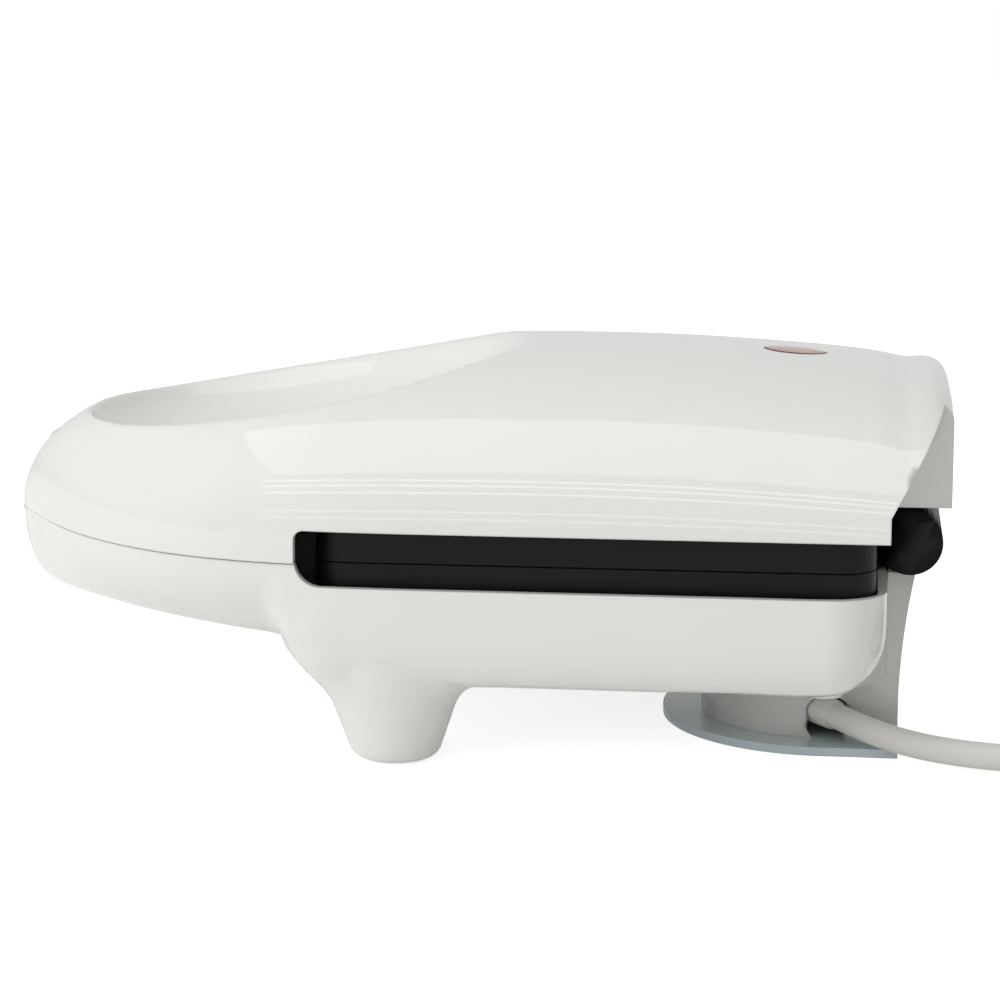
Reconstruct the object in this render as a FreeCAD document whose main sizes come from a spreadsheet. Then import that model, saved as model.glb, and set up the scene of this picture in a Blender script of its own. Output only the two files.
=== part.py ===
import FreeCAD
import Part
import math
import os
import re
import Sketcher
from FreeCAD import Placement, Rotation, Vector

# Donut maker, millimetres. +Z is up, the handle nose points to -X and the hinge is at +X.
# The origin is on the table, under the middle of the body.

# Driving dimensions: alias, value and what it measures
SIZES = [
    ("nose_x", -134.0, "front tip of the handle"),
    ("rear_x", 134.0, "rear wall of the lid"),
    ("parting_z", 57.0, "height of the joint between lid and base"),
    ("body_half_width", 88.0, "half width of the housings"),
    ("shoulder_x", 0.0, "where the handle reaches full width"),
    ("nose_power", 3.0, "fullness of the plan outline"),
    ("flank_power", 0.82, "slope of the handle's flanks in plan"),
    ("tip_power", 0.5, "roundness of the nose tip in plan"),
    ("tip_sharpness", 40.0, "how close to the tip the rounding starts"),
    ("crest_x", 30.0, "place of the lid's highest point"),
    ("crest_height", 50.0, "lid height above the parting plane"),
    ("crest_power", 2.6, "fullness of the lid's side profile"),
    ("crest_root", 0.44, "bluntness of the lid's nose profile"),
    ("rear_fall", 6.0, "fall of the crest towards the rear"),
    ("rear_round", 6.0, "round of the lid's top rear edge"),
    ("lid_section_power", 2.6, "fullness of the lid's cross section"),
    ("housing_wall", 2.6, "wall of the moulded housings"),
    ("cut_front_x", -38.0, "front end of the plate window"),
    ("lid_lip_rise", 9.0, "lid's side edge above the parting plane"),
    ("base_rim_drop", 6.0, "base rim below the parting plane"),
    ("lid_cut_round", 2.7, "corner of the window in the lid"),
    ("base_cut_round", 7.0, "corner of the window in the base"),
    ("parting_step", 0.6, "how far the lid stands over the base"),
    ("parting_gap", 0.7, "gap between lid and base at the handle"),
    ("block_half_width", 46.0, "half width of the lid's hinge block"),
    ("block_bottom_rise", 11.6, "underside of the hinge block above the parting plane"),
    ("lip_rear_x", 117.5, "rear edge of the lid's side walls"),
    ("slant_low_rise", 15.6, "foot of the slanted rear face above the parting plane"),
    ("slant_top_x", 133.0, "top of the slanted rear face"),
    ("slant_top_rise", 42.6, "top of the slanted rear face above the parting plane"),
    ("bowl_x", -52.0, "centre of the finger bowl"),
    ("bowl_rise", 40.0, "centre of the finger bowl above the parting plane"),
    ("bowl_half_length", 61.5, "half length of the finger bowl"),
    ("bowl_half_width", 61.0, "half width of the finger bowl"),
    ("bowl_depth", 22.0, "depth of the finger bowl"),
    ("bowl_tilt", 9.3, "tilt of the finger bowl, degrees"),
    ("tub_depth", 36.0, "floor of the tub below the parting plane"),
    ("tub_rear_x", 117.0, "rear wall of the tub"),
    ("tub_rear_round", 16.0, "rear edges of the tub"),
    ("tub_power", 7.0, "squareness of the tub's cross section"),
    ("handle_root_x", -40.0, "where the handle meets the tub"),
    ("handle_depth", 31.5, "depth of the lower handle at its root"),
    ("handle_taper", 9.5, "loss of depth towards the nose"),
    ("handle_end_power", 24.0, "bluntness of the lower nose"),
    ("handle_power", 2.4, "fullness of the lower handle's section"),
    ("step_front_x", -48.0, "start of the step from handle to tub"),
    ("step_rear_x", -28.0, "end of the step from handle to tub"),
    ("foot_x", -14.4, "front feet"),
    ("foot_y", 65.0, "front feet, off the middle"),
    ("foot_low_radius", 11.3, "front foot at its end"),
    ("foot_top_radius", 18.0, "front foot at the tub"),
    ("foot_sink", 10.0, "how far the foot's cone runs into the tub's wall"),
    ("foot_round", 4.4, "round of a foot's lower edge"),
    ("pad_height", 0.8, "rubber pad of a foot"),
    ("pad_inset", 0.6, "pad inside the foot's edge"),
    ("plate_front_x", -34.5, "front edge of the cooking plates"),
    ("plate_rear_x", 114.0, "rear edge of the cooking plates"),
    ("plate_half_width", 82.0, "half width of the cooking plates"),
    ("plate_corner", 10.0, "corner of the cooking plates"),
    ("plate_edge", 10.0, "height of a plate's edge"),
    ("plate_face", 4.0, "thickness of a plate's face"),
    ("plate_rim", 4.0, "width of a plate's edge"),
    ("plate_gap", 0.3, "gap between the closed plates"),
    ("notch_clearance", 1.6, "plates clear the hinge barrel"),
    ("ring_pitch", 52.0, "distance between donut rings"),
    ("ring_radius", 13.5, "mean radius of a donut ring"),
    ("ring_groove", 9.5, "radius of a ring's groove"),
    ("ring_wall", 2.5, "wall behind a groove"),
    ("ring_lead", 0.3, "ring centre behind the plate's face"),
    ("post_radius", 5.0, "cast posts behind the plates"),
    ("post_inset", 13.0, "posts inside the plate's edges"),
    ("heater_radius", 3.25, "tubular heater"),
    ("heater_bend", 38.0, "bend of the heater loop"),
    ("heater_rear_inset", 12.0, "heater ends before the plate's rear edge"),
    ("heater_gap", 0.1, "heater below the ring bosses"),
    ("reflector_thick", 0.8, "reflector sheet"),
    ("reflector_inset", 4.0, "reflector inside the plate's edges"),
    ("reflector_front_inset", 9.5, "reflector behind the plate's front edge"),
    ("reflector_gap", 1.2, "reflector from the heater"),
    ("screw_radius", 1.9, "shank of the plate screws"),
    ("screw_head_radius", 3.5, "head of the plate screws"),
    ("screw_head_height", 2.2, "head height"),
    ("screw_clearance", 0.1, "holes round the screws"),
    ("screw_grip", 7.0, "screw length in its boss"),
    ("thermostat_radius", 6.0, "thermostat disc"),
    ("thermostat_height", 8.0, "thermostat height"),
    ("sensor_inset_x", 13.0, "thermostat before the plate's rear edge"),
    ("sensor_inset_y", 26.0, "thermostat inside the plate's side"),
    ("fuse_radius", 2.0, "thermal fuse"),
    ("fuse_length", 12.0, "thermal fuse"),
    ("hinge_x", 123.2, "hinge axis"),
    ("hinge_rise", 1.5, "hinge axis above the parting plane"),
    ("barrel_radius", 8.8, "hinge barrel"),
    ("barrel_half_length", 44.0, "half length of the hinge barrel"),
    ("lid_knuckle_half", 22.0, "half length of the lid's knuckle"),
    ("knuckle_gap", 0.3, "gap between knuckles"),
    ("knuckle_cap", 2.5, "closed end of the outer knuckles"),
    ("pin_radius", 3.0, "hinge pin"),
    ("running_clearance", 0.05, "hinge bores round their pins"),
    ("arm_half_width", 16.0, "half width of the lid's hinge arm"),
    ("arm_thick", 9.0, "thickness of the lid's hinge arm"),
    ("arm_height", 22.0, "hinge arm above the axis"),
    ("lug_thick", 4.0, "lug of a base knuckle"),
    ("lug_depth", 20.0, "lug below the hinge axis"),
    ("lug_inset", 4.0, "lug inside its knuckle's ends"),
    ("stand_half_width", 39.0, "half width of the neck"),
    ("neck_front_gap", 0.3, "neck behind the tub"),
    ("neck_low_x", 121.0, "rear face of the neck at its foot"),
    ("neck_lean", 3.9, "how far the neck leans back at its top"),
    ("neck_top_gap", 0.3, "neck under the hinge barrel"),
    ("core_front_x", 65.0, "front of the cord core"),
    ("core_centre_x", 95.0, "where the core's round front ends"),
    ("core_half_width", 39.0, "half width of the cord core"),
    ("core_wall", 2.6, "wall of the cord core"),
    ("seat_gap", 0.3, "fittings above the moulded floor"),
    ("core_top_gap", 0.5, "core under the tub"),
    ("wrap_front_x", 54.0, "front of the cord-wrap plate"),
    ("wrap_centre_x", 100.0, "where the plate's round front ends"),
    ("wrap_half_width", 50.0, "half width of the cord-wrap plate"),
    ("wrap_thick", 2.4, "thickness of the cord-wrap plate"),
    ("rear_pad_radius", 6.0, "rear pads in the wrap plate"),
    ("rear_pad_thick", 1.2, "rear pads"),
    ("stand_screw_radius", 1.8, "stand screws"),
    ("stand_screw_head", 3.6, "head of the stand screws"),
    ("boss_radius", 4.5, "screw bosses of the stand"),
    ("boss_front_x", 78.0, "front boss of the stand"),
    ("boss_rear_x", 98.0, "rear bosses of the stand"),
    ("boss_rear_y", 10.0, "rear bosses, off the middle"),
    ("lens_x", 90.5, "indicator lens on the lid"),
    ("lens_length", 17.0, "indicator lens along the lid"),
    ("lens_width", 9.6, "indicator lens across the lid"),
    ("lens_rise", 1.0, "lens above the lid"),
    ("lens_depth", 6.0, "lens below the lid's surface"),
    ("bezel_width", 0.7, "bezel round the lens"),
    ("bezel_rise", 0.5, "bezel above the lid"),
    ("lamp_radius", 2.6, "neon lamp"),
    ("lamp_length", 10.0, "neon lamp"),
    ("holder_wall", 1.2, "lamp holder"),
    ("latch_half_width", 10.5, "half width of the latch strap"),
    ("latch_gap", 0.5, "latch in its slot"),
    ("latch_thick", 3.4, "thickness of the latch strap"),
    ("latch_tip_cut", 1.0, "flat on the strap at the nose's tip"),
    ("latch_pivot_x", -120.5, "latch pin"),
    ("latch_pivot_depth", 5.4, "latch pin below the lid's crest"),
    ("latch_eye", 4.4, "eye of the latch round its pin"),
    ("latch_pin_radius", 1.5, "latch pin"),
    ("latch_rib", 3.0, "ribs that hold the latch pin"),
    ("latch_foot_z", 37.0, "lower end of the latch strap"),
    ("cord_diameter", 7.2, "power cord"),
    ("gland_length", 22.0, "strain relief"),
    ("gland_root_radius", 5.6, "strain relief at the clamp"),
    ("gland_tip_radius", 4.1, "strain relief at the cord"),
    ("gland_gap", 0.6, "strain relief in its opening"),
    ("clamp_width", 14.0, "cord clamp"),
    ("clamp_height", 14.6, "cord clamp"),
    ("terminal_length", 30.0, "terminal block"),
    ("terminal_width", 14.0, "terminal block"),
    ("terminal_height", 6.0, "terminal block"),
    ("terminal_lift", 0.4, "terminal block above its seat"),
    ("coil_start_radius", 45.0, "coil at its start"),
    ("coil_pitch", 8.1, "distance between turns"),
    ("coil_turns_in", 1.5, "turns that spiral in"),
    ("coil_turns_out", 1.25, "turns that spiral out"),
    ("layer_gap", 0.8, "gap between the coil's layers"),
    ("tie_width", 10.0, "cord tie"),
    ("tie_thick", 0.6, "cord tie"),
    ("tie_clearance", 0.5, "tie round the coil"),
    ("plug_tail", 28.0, "straight cord before the plug"),
    ("plug_radius", 12.4, "plug at its face"),
    ("plug_neck_radius", 5.0, "plug at the cord"),
    ("plug_length", 36.0, "plug without its pins"),
    ("plug_face_length", 10.0, "straight front of the plug"),
    ("plug_pin_radius", 2.4, "plug pin"),
    ("plug_pin_length", 19.0, "plug pin"),
    ("plug_pin_spacing", 19.0, "distance between plug pins"),
]

# Route of the free cord, from the strain relief to the start of the coil
CORD_ROUTE = [
    (103.9, -40.0, 9.1),
    (110.6, -47.3, 7.9),
    (119.3, -52.9, 6.2),
    (130.0, -56.8, 4.8),
    (143.0, -59.8, 4.1),
    (158.0, -61.9, 4.0),
    (175.0, -62.8, 4.4),
    (190.0, -63.0, 4.8),
    (204.0, -63.0, 4.8),
]

doc = FreeCAD.newDocument("donut_maker")
sheet = doc.addObject("Spreadsheet::Sheet", "Sizes")
for row, (alias, value, note) in enumerate(SIZES, start=1):
    sheet.set(f"A{row}", note)
    sheet.set(f"B{row}", str(value))
    sheet.setAlias(f"B{row}", alias)
doc.recompute()
ALIASES = {alias for alias, _, _ in SIZES}


class Sheet:
    """Reads a driving dimension as a number: S.parting_z."""

    def __getattr__(self, alias):
        return float(sheet.get(alias))


S = Sheet()
NODES = []


def formula(text):
    """Puts the sheet's name before each alias in an expression."""
    return re.sub(r"[a-z_]+", lambda hit: "Sizes." + hit.group(0) if hit.group(0) in ALIASES else hit.group(0), text)


def bind(item, rules):
    """Binds properties of a document object to expressions."""
    for name, text in rules.items():
        item.setExpression(name, formula(text))


def place(item, at, turn=None):
    """Binds a place and sets a turn, given as a Rotation."""
    if turn is not None:
        item.Placement = Placement(Vector(), turn)
    for axis, text in zip("xyz", at):
        item.setExpression("Placement.Base." + axis, formula(text))


ALONG_X = Rotation(Vector(0, 1, 0), 90)
ALONG_Y = Rotation(Vector(1, 0, 0), -90)


def box(name, low, length):
    """Box from its low corner and its lengths, as expressions."""
    item = doc.addObject("Part::Box", name)
    bind(item, dict(zip(("Length", "Width", "Height"), length)))
    place(item, low)
    return item


def cylinder(name, radius, height, at, turn=None):
    """Cylinder from the middle of its lower end."""
    item = doc.addObject("Part::Cylinder", name)
    bind(item, {"Radius": radius, "Height": height})
    place(item, at, turn)
    return item


def torus(name, ring, tube, at):
    """Ring with a round section, flat on the table plane."""
    item = doc.addObject("Part::Torus", name)
    bind(item, {"Radius1": ring, "Radius2": tube})
    place(item, at)
    return item


def fuse(name, items):
    """Union of several objects."""
    item = doc.addObject("Part::MultiFuse", name)
    item.Shapes = items
    return item


def cut(name, base, tools):
    """Base less one or more tools."""
    item = doc.addObject("Part::Cut", name)
    item.Base = base
    item.Tool = tools[0] if len(tools) == 1 else fuse(name + "_tools", tools)
    return item


def group(name, items):
    """Several separate solids in one node."""
    item = doc.addObject("Part::Compound", name)
    item.Links = items
    return item


def feature(name, shape):
    """Object whose shape is worked out in this file."""
    item = doc.addObject("Part::Feature", name)
    item.Shape = shape
    return item


def node(item, label):
    """Names a finished sub-part."""
    item.Label = label
    NODES.append(item)
    return item


def padded_rectangle(name, sides, low_z, height, corner):
    """Body with a rounded rectangle of sides (x low, x high, y low, y high), padded up from low_z."""
    body = doc.addObject("PartDesign::Body", name)
    sketch = body.newObject("Sketcher::SketchObject", name + "_outline")
    sketch.AttachmentSupport = next(f for f in body.Origin.OriginFeatures if f.Role == "XY_Plane")
    sketch.MapMode = "FlatFace"
    sketch.setExpression("AttachmentOffset.Base.z", formula(low_z))
    corners = [Vector(0, 0), Vector(9, 0), Vector(9, 9), Vector(0, 9)]
    for start, end in zip(corners, corners[1:] + corners[:1]):
        sketch.addGeometry(Part.LineSegment(start, end))
    for line in range(4):
        sketch.addConstraint(Sketcher.Constraint("Coincident", line, 2, (line + 1) % 4, 1))
        kind = "Vertical" if line % 2 else "Horizontal"
        sketch.addConstraint(Sketcher.Constraint(kind, line))
    ends = [("DistanceX", 0, 1), ("DistanceX", 0, 2), ("DistanceY", 1, 1), ("DistanceY", 1, 2)]
    for (kind, line, end), text in zip(ends, sides):
        index = sketch.addConstraint(Sketcher.Constraint(kind, -1, 1, line, end, 1.0))
        sketch.setExpression(f"Constraints[{index}]", formula(text))
    pad = body.newObject("PartDesign::Pad", name + "_pad")
    pad.Profile = sketch
    pad.setExpression("Length", formula(height))
    doc.recompute()
    upright = [f"Edge{i}" for i, edge in enumerate(pad.Shape.Edges, start=1)
               if abs(edge.tangentAt(edge.FirstParameter).z) > 0.9]
    rounds = body.newObject("PartDesign::Fillet", name + "_corners")
    rounds.Base = (pad, upright)
    rounds.setExpression("Radius", formula(corner))
    doc.recompute()
    return body


# Shape of the housings

def smooth_step(x, low, high):
    """Rises from 0 to 1 between low and high, level at both ends."""
    part = min(1.0, max(0.0, (x - low) / (high - low)))
    return part * part * (3 - 2 * part)


def round_over(x, end, radius):
    """How far a quarter round that ends at `end` has dropped at x."""
    over = min(radius, max(0.0, x - (end - radius)))
    return radius - math.sqrt(radius * radius - over * over)


def half_width(x):
    """Half width of the plan outline: a full curve that tapers to a rounded nose."""
    u = min(1.0, max(0.0, (S.shoulder_x - x) / (S.shoulder_x - S.nose_x)))
    power = S.flank_power - (S.flank_power - S.tip_power) * u ** S.tip_sharpness
    return S.body_half_width * max(0.0, 1 - u ** S.nose_power) ** power


def crest_rise(x):
    """Height of the lid's crest above the parting plane."""
    if x <= S.crest_x:
        u = min(1.0, (S.crest_x - x) / (S.crest_x - S.nose_x))
        return S.crest_height * (1 - u ** S.crest_power) ** S.crest_root
    fall = S.rear_fall * ((x - S.crest_x) / (S.rear_x - S.rear_round - S.crest_x)) ** 2
    return S.crest_height - fall - round_over(x, S.rear_x, S.rear_round)


def keel_drop(x):
    """Depth of the base below the parting plane: a shallow handle that steps down to the tub."""
    u = min(1.0, max(0.0, (S.handle_root_x - x) / (S.handle_root_x - S.nose_x)))
    handle = (S.handle_depth - S.handle_taper * u) * math.sqrt(1 - u ** S.handle_end_power)
    step = smooth_step(x, S.step_front_x, S.step_rear_x)
    return handle * (1 - step) + S.tub_depth * step - round_over(x, S.tub_rear_x, S.tub_rear_round)


def base_power(x):
    """Squareness of the base's section, from the round handle to the square tub."""
    step = smooth_step(x, S.step_front_x, S.step_rear_x)
    return S.handle_power + (S.tub_power - S.handle_power) * step


def base_half_width(x):
    """Half width of the base, a little inside the lid."""
    return half_width(x) - S.parting_step - round_over(x, S.tub_rear_x, S.tub_rear_round)


SECTION_POINTS = 33


def section(x, half, rise, power, level, skirt):
    """Closed half superellipse in the plane at x, standing on a straight skirt at `level`."""
    points = []
    for index in range(SECTION_POINTS):
        angle = math.pi * index / (SECTION_POINTS - 1)
        across = abs(math.cos(angle)) ** power
        up = abs(math.sin(angle)) ** power
        reach = (across + up) ** (-1 / power)
        points.append(Vector(x, half * reach * math.cos(angle), level + rise * reach * math.sin(angle)))
    curve = Part.BSplineCurve()
    curve.interpolate(points)
    low = -skirt if rise > 0 else skirt
    first, last = points[0], points[-1]
    lows = [Vector(x, last.y, level + low), Vector(x, first.y, level + low)]
    edges = [curve.toShape()]
    for start, end in ((last, lows[0]), (lows[0], lows[1]), (lows[1], first)):
        edges.append(Part.LineSegment(start, end).toShape())
    return Part.Wire(edges)


def stations(start, middle, end, rear_round, front_count=15, body_count=5, round_count=6):
    """Section places: close together at the nose, even along the body, close in the rear round."""
    places = [middle - (middle - start) * math.cos(math.pi / 2 * (i + 0.5) / front_count)
              for i in range(front_count)]
    body_end = end - rear_round
    places += [middle + (body_end - middle) * i / body_count for i in range(body_count)]
    places += [body_end + rear_round * math.sin(math.pi / 2 * i / round_count) for i in range(round_count + 1)]
    return places


TINY_SKIRT = 0.2


def lid_form(inset):
    """Solid lid, drawn in by `inset`."""
    level = S.parting_z + S.parting_gap / 2
    wires = []
    for x in stations(S.nose_x + inset * 1.6, S.crest_x, S.rear_x, S.rear_round):
        place_x = min(x, S.rear_x - inset)
        skirt = TINY_SKIRT if inset == 0 else S.tub_depth
        if wires and place_x <= wires[-1].BoundBox.XMax + 0.05:
            continue
        rise = max(1.0, crest_rise(x) - inset)
        wires.append(section(place_x, max(1.0, half_width(x) - inset), rise, S.lid_section_power, level, skirt))
    return Part.makeLoft(wires, True, False)


def base_form(inset):
    """Solid base, drawn in by `inset`."""
    level = S.parting_z - S.parting_gap / 2
    wires = []
    for x in stations(S.nose_x + S.parting_step + inset * 1.6, S.handle_root_x, S.tub_rear_x, S.tub_rear_round,
                      body_count=7):
        place_x = min(x, S.tub_rear_x - inset)
        skirt = TINY_SKIRT if inset == 0 else S.tub_depth
        if wires and place_x <= wires[-1].BoundBox.XMax + 0.05:
            continue
        drop = max(1.0, keel_drop(x) - inset)
        wires.append(section(place_x, max(1.0, base_half_width(x) - inset), -drop, base_power(x), level, skirt))
    return Part.makeLoft(wires, True, False)


def trim_box(x_low, x_high, y_low, y_high, z_low, z_high):
    """Plain block between two corners."""
    return Part.makeBox(x_high - x_low, y_high - y_low, z_high - z_low, Vector(x_low, y_low, z_low))


def rounded_trim(x_low, x_high, half, z_low, z_high, radius, top):
    """Block across the body whose front edge, top or bottom, is rounded."""
    block = trim_box(x_low, x_high, -half, half, z_low, z_high)
    level = z_high if top else z_low
    edge = min(block.Edges, key=lambda e: (e.CenterOfMass - Vector(x_low, 0, level)).Length)
    return block.makeFillet(radius, [edge])


FAR = 20.0
WIDE = S.body_half_width + FAR
LID_TOP = S.parting_z + S.crest_height + FAR
FLOOR_Z = S.parting_z - S.parting_gap / 2 - S.tub_depth
FLOOR_TOP = FLOOR_Z + S.housing_wall
HINGE_Z = S.parting_z + S.hinge_rise
PIVOT_Z = S.parting_z + crest_rise(S.latch_pivot_x) - S.latch_pivot_depth


def side_prism(points, half):
    """Polygon in the middle plane, given as (x, z), carried across the body to +-half."""
    corners = [Vector(x, -half, z) for x, z in points]
    face = Part.Face(Part.makePolygon(corners + corners[:1]))
    return face.extrude(Vector(0, 2 * half, 0))


def slant(offset):
    """Corners of the space behind the lid's slanted rear face, moved forward by `offset`."""
    low, top = S.parting_z + S.slant_low_rise, S.parting_z + S.slant_top_rise
    run = (S.slant_top_x - S.lip_rear_x) / (top - low)
    top_z = LID_TOP
    top_x = S.lip_rear_x + run * (top_z - low)
    far_x = max(top_x, S.rear_x) + FAR
    return [(S.lip_rear_x - offset, S.parting_z - FAR), (S.lip_rear_x - offset, low),
            (top_x - offset, top_z), (far_x, top_z), (far_x, S.parting_z - FAR)]


def bowl_form(grow):
    """Finger bowl: a tilted ellipsoid, made larger by `grow`."""
    scale = FreeCAD.Matrix()
    scale.scale(S.bowl_half_length + grow, S.bowl_half_width + grow, S.bowl_depth + grow)
    bowl = Part.makeSphere(1.0).transformGeometry(scale)
    bowl.rotate(Vector(), Vector(0, 1, 0), -S.bowl_tilt)
    bowl.translate(Vector(S.bowl_x, 0, S.parting_z + S.bowl_rise))
    return bowl


def lens_outline(grow):
    """Leaf of two arcs on the lid's middle line, as a face at the table plane."""
    half_l, half_w = S.lens_length / 2 + grow, S.lens_width / 2 + grow
    front, rear = Vector(S.lens_x - half_l, 0, 0), Vector(S.lens_x + half_l, 0, 0)
    near, far = Vector(S.lens_x, -half_w, 0), Vector(S.lens_x, half_w, 0)
    return Part.Face(Part.Wire([Part.Arc(front, near, rear).toShape(), Part.Arc(rear, far, front).toShape()]))


def lens_block(grow, low_z, high_z):
    """Leaf-shaped block between two heights."""
    face = lens_outline(grow)
    face.translate(Vector(0, 0, low_z))
    return face.extrude(Vector(0, 0, high_z - low_z))


def across(radius, half, x, z, centre_y=0.0):
    """Cylinder across the body."""
    return Part.makeCylinder(radius, 2 * half, Vector(x, centre_y - half, z), Vector(0, 1, 0))


def upright(radius, x, y, low_z, high_z):
    """Cylinder between two heights."""
    return Part.makeCylinder(radius, high_z - low_z, Vector(x, y, low_z))


POST_XS = (S.plate_front_x + S.post_inset, S.plate_rear_x - S.post_inset)
POST_YS = (-(S.plate_half_width - S.post_inset), S.plate_half_width - S.post_inset)
POSTS = [(x, y) for x in POST_XS for y in POST_YS]
BOSSES = [(S.boss_front_x, 0.0), (S.boss_rear_x, -S.boss_rear_y), (S.boss_rear_x, S.boss_rear_y)]
RING_REACH = S.ring_groove + S.ring_wall + S.ring_lead
LOWER_HEATER_Z = S.parting_z - S.plate_gap / 2 - RING_REACH - S.heater_gap - S.heater_radius
UPPER_HEATER_Z = S.parting_z + S.plate_gap / 2 + RING_REACH + S.heater_gap + S.heater_radius
LOWER_SHEET_TOP = LOWER_HEATER_Z - S.heater_radius - S.reflector_gap
UPPER_SHEET_LOW = UPPER_HEATER_Z + S.heater_radius + S.reflector_gap

LID_OUTER = lid_form(0.0)
LID_INNER = lid_form(S.housing_wall)
BASE_OUTER = base_form(0.0)
BASE_INNER = base_form(S.housing_wall)


LATCH_LID_CORE = lid_form(S.latch_thick)
LATCH_BASE_CORE = base_form(S.latch_thick)


def lid_housing():
    """Upper shell: dome, finger bowl, plate window, slanted rear, hinge block, screw bosses."""
    block_half = S.block_half_width - S.housing_wall
    front_room = LID_INNER.cut(side_prism(slant(S.housing_wall), WIDE))
    block_room = LID_INNER.common(trim_box(S.bowl_x, S.rear_x, -block_half, block_half, 0, LID_TOP))
    half = S.latch_half_width + S.latch_gap
    boss_low = UPPER_SHEET_LOW + S.reflector_thick
    arm_top = HINGE_Z + S.arm_height
    inside = [upright(S.post_radius, x, y, boss_low, LID_TOP) for x, y in POSTS]
    inside.append(trim_box(S.hinge_x - S.arm_thick / 2, S.hinge_x + S.arm_thick / 2,
                           -S.arm_half_width, S.arm_half_width, arm_top, LID_TOP))
    for sign in (-1, 1):
        middle = sign * (half + S.latch_rib / 2)
        inside.append(across(S.latch_eye, S.latch_rib / 2, S.latch_pivot_x, PIVOT_Z, middle))
        inside.append(trim_box(S.latch_pivot_x - S.latch_eye, S.latch_pivot_x + S.latch_eye,
                               middle - S.latch_rib / 2, middle + S.latch_rib / 2, PIVOT_Z, PIVOT_Z + FAR))
    kept = LID_OUTER.common(bowl_form(S.housing_wall).fuse(inside))
    shell = LID_OUTER.cut([front_room, block_room]).fuse(kept)
    tools = [bowl_form(0.0)]
    for sign in (-1, 1):
        ends = sorted((sign * S.block_half_width, sign * 2 * WIDE))
        beside = trim_box(S.bowl_x, S.rear_x + 2 * FAR, *ends, 0, LID_TOP)
        tools.append(side_prism(slant(0.0), WIDE).common(beside))
        tools.append(upright(S.screw_radius + S.running_clearance, S.hinge_x, sign * S.arm_half_width / 2,
                             arm_top - 1, arm_top + S.screw_grip + 1))
    lip_z = S.parting_z + S.lid_lip_rise
    tools.append(rounded_trim(S.cut_front_x, S.rear_x + FAR, WIDE, 0, lip_z, S.lid_cut_round, True))
    tools.append(trim_box(S.lip_rear_x - S.housing_wall, S.rear_x + FAR, -S.block_half_width, S.block_half_width,
                          0, S.parting_z + S.block_bottom_rise))
    for x, y in POSTS:
        tools.append(upright(S.screw_radius + S.running_clearance, x, y, boss_low - 1, boss_low + S.screw_grip + 1))
    slot = trim_box(S.nose_x - FAR, S.latch_pivot_x, -half, half, 0, LID_TOP)
    tools.append(slot.cut(LATCH_LID_CORE))
    tools.append(across(S.latch_eye + S.latch_gap, half, S.latch_pivot_x, PIVOT_Z))
    tools.append(across(S.latch_pin_radius, half + S.latch_rib, S.latch_pivot_x, PIVOT_Z))
    top = S.parting_z + crest_rise(S.lens_x)
    tools.append(lens_block(S.bezel_width, top - 2 * S.lens_depth, LID_TOP))
    return shell.cut(tools).removeSplitter()


def base_housing():
    """Lower shell: handle, tub, cone feet, posts for the plate, latch notch."""
    rim_z = S.parting_z - S.base_rim_drop
    foot_top = FLOOR_Z + S.foot_sink
    slope = (S.foot_top_radius - S.foot_low_radius) / (FLOOR_Z - S.pad_height)
    top_radius = S.foot_low_radius + slope * (foot_top - S.pad_height)
    post_top = LOWER_SHEET_TOP - S.reflector_thick
    feet = []
    for sign in (-1, 1):
        at = Vector(S.foot_x, sign * S.foot_y, S.pad_height)
        foot = Part.makeCone(S.foot_low_radius, top_radius, foot_top - S.pad_height, at)
        low_edges = [edge for edge in foot.Edges if edge.BoundBox.ZMax < at.z + S.foot_round / 2]
        foot = foot.makeFillet(S.foot_round, low_edges)
        hollow = Part.makeCone(S.foot_low_radius - S.housing_wall, top_radius - S.housing_wall,
                               foot_top - S.pad_height, at + Vector(0, 0, S.housing_wall))
        feet.append(foot.cut([hollow, BASE_INNER]))
    posts = [upright(S.post_radius, x, y, FLOOR_Z + S.housing_wall / 2, post_top) for x, y in POSTS]
    shell = BASE_OUTER.cut(BASE_INNER).fuse(feet + posts)
    half = S.latch_half_width + S.latch_gap
    tools = [rounded_trim(S.cut_front_x, S.rear_x + FAR, WIDE, rim_z, LID_TOP, S.base_cut_round, False),
             trim_box(S.nose_x - FAR, S.latch_pivot_x, -half, half, S.latch_foot_z - S.latch_gap, LID_TOP)]
    for x, y in POSTS:
        tools.append(upright(S.screw_radius + S.running_clearance, x, y, post_top - S.screw_grip - 1, post_top + 1))
    for x, y in BOSSES:
        tools.append(upright(S.stand_screw_radius + S.screw_clearance, x, y, FLOOR_Z - 1, FLOOR_TOP + 1))
    return shell.cut(tools).removeSplitter()


def latch():
    """Strap that wraps the nose, flush with both housings, with an eye round its pin."""
    half = S.latch_half_width
    tip_x = S.nose_x + S.latch_tip_cut
    slab = trim_box(tip_x, S.latch_pivot_x, -half, half, S.latch_foot_z, PIVOT_Z)
    lid_strip = LID_OUTER.common(slab).cut(LATCH_LID_CORE)
    base_strip = BASE_OUTER.common(slab).cut(LATCH_BASE_CORE)
    bridge = trim_box(tip_x, tip_x + S.latch_thick, -half, half, S.parting_z - S.parting_gap,
                      S.parting_z + S.parting_gap).common(trim_box(S.nose_x, S.rear_x, -half, half, 0, LID_TOP))
    eye = across(S.latch_eye, half, S.latch_pivot_x, PIVOT_Z)
    strap = lid_strip.fuse([base_strip, bridge, eye])
    return strap.cut(across(S.latch_pin_radius + S.running_clearance, half, S.latch_pivot_x, PIVOT_Z)).removeSplitter()


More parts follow.
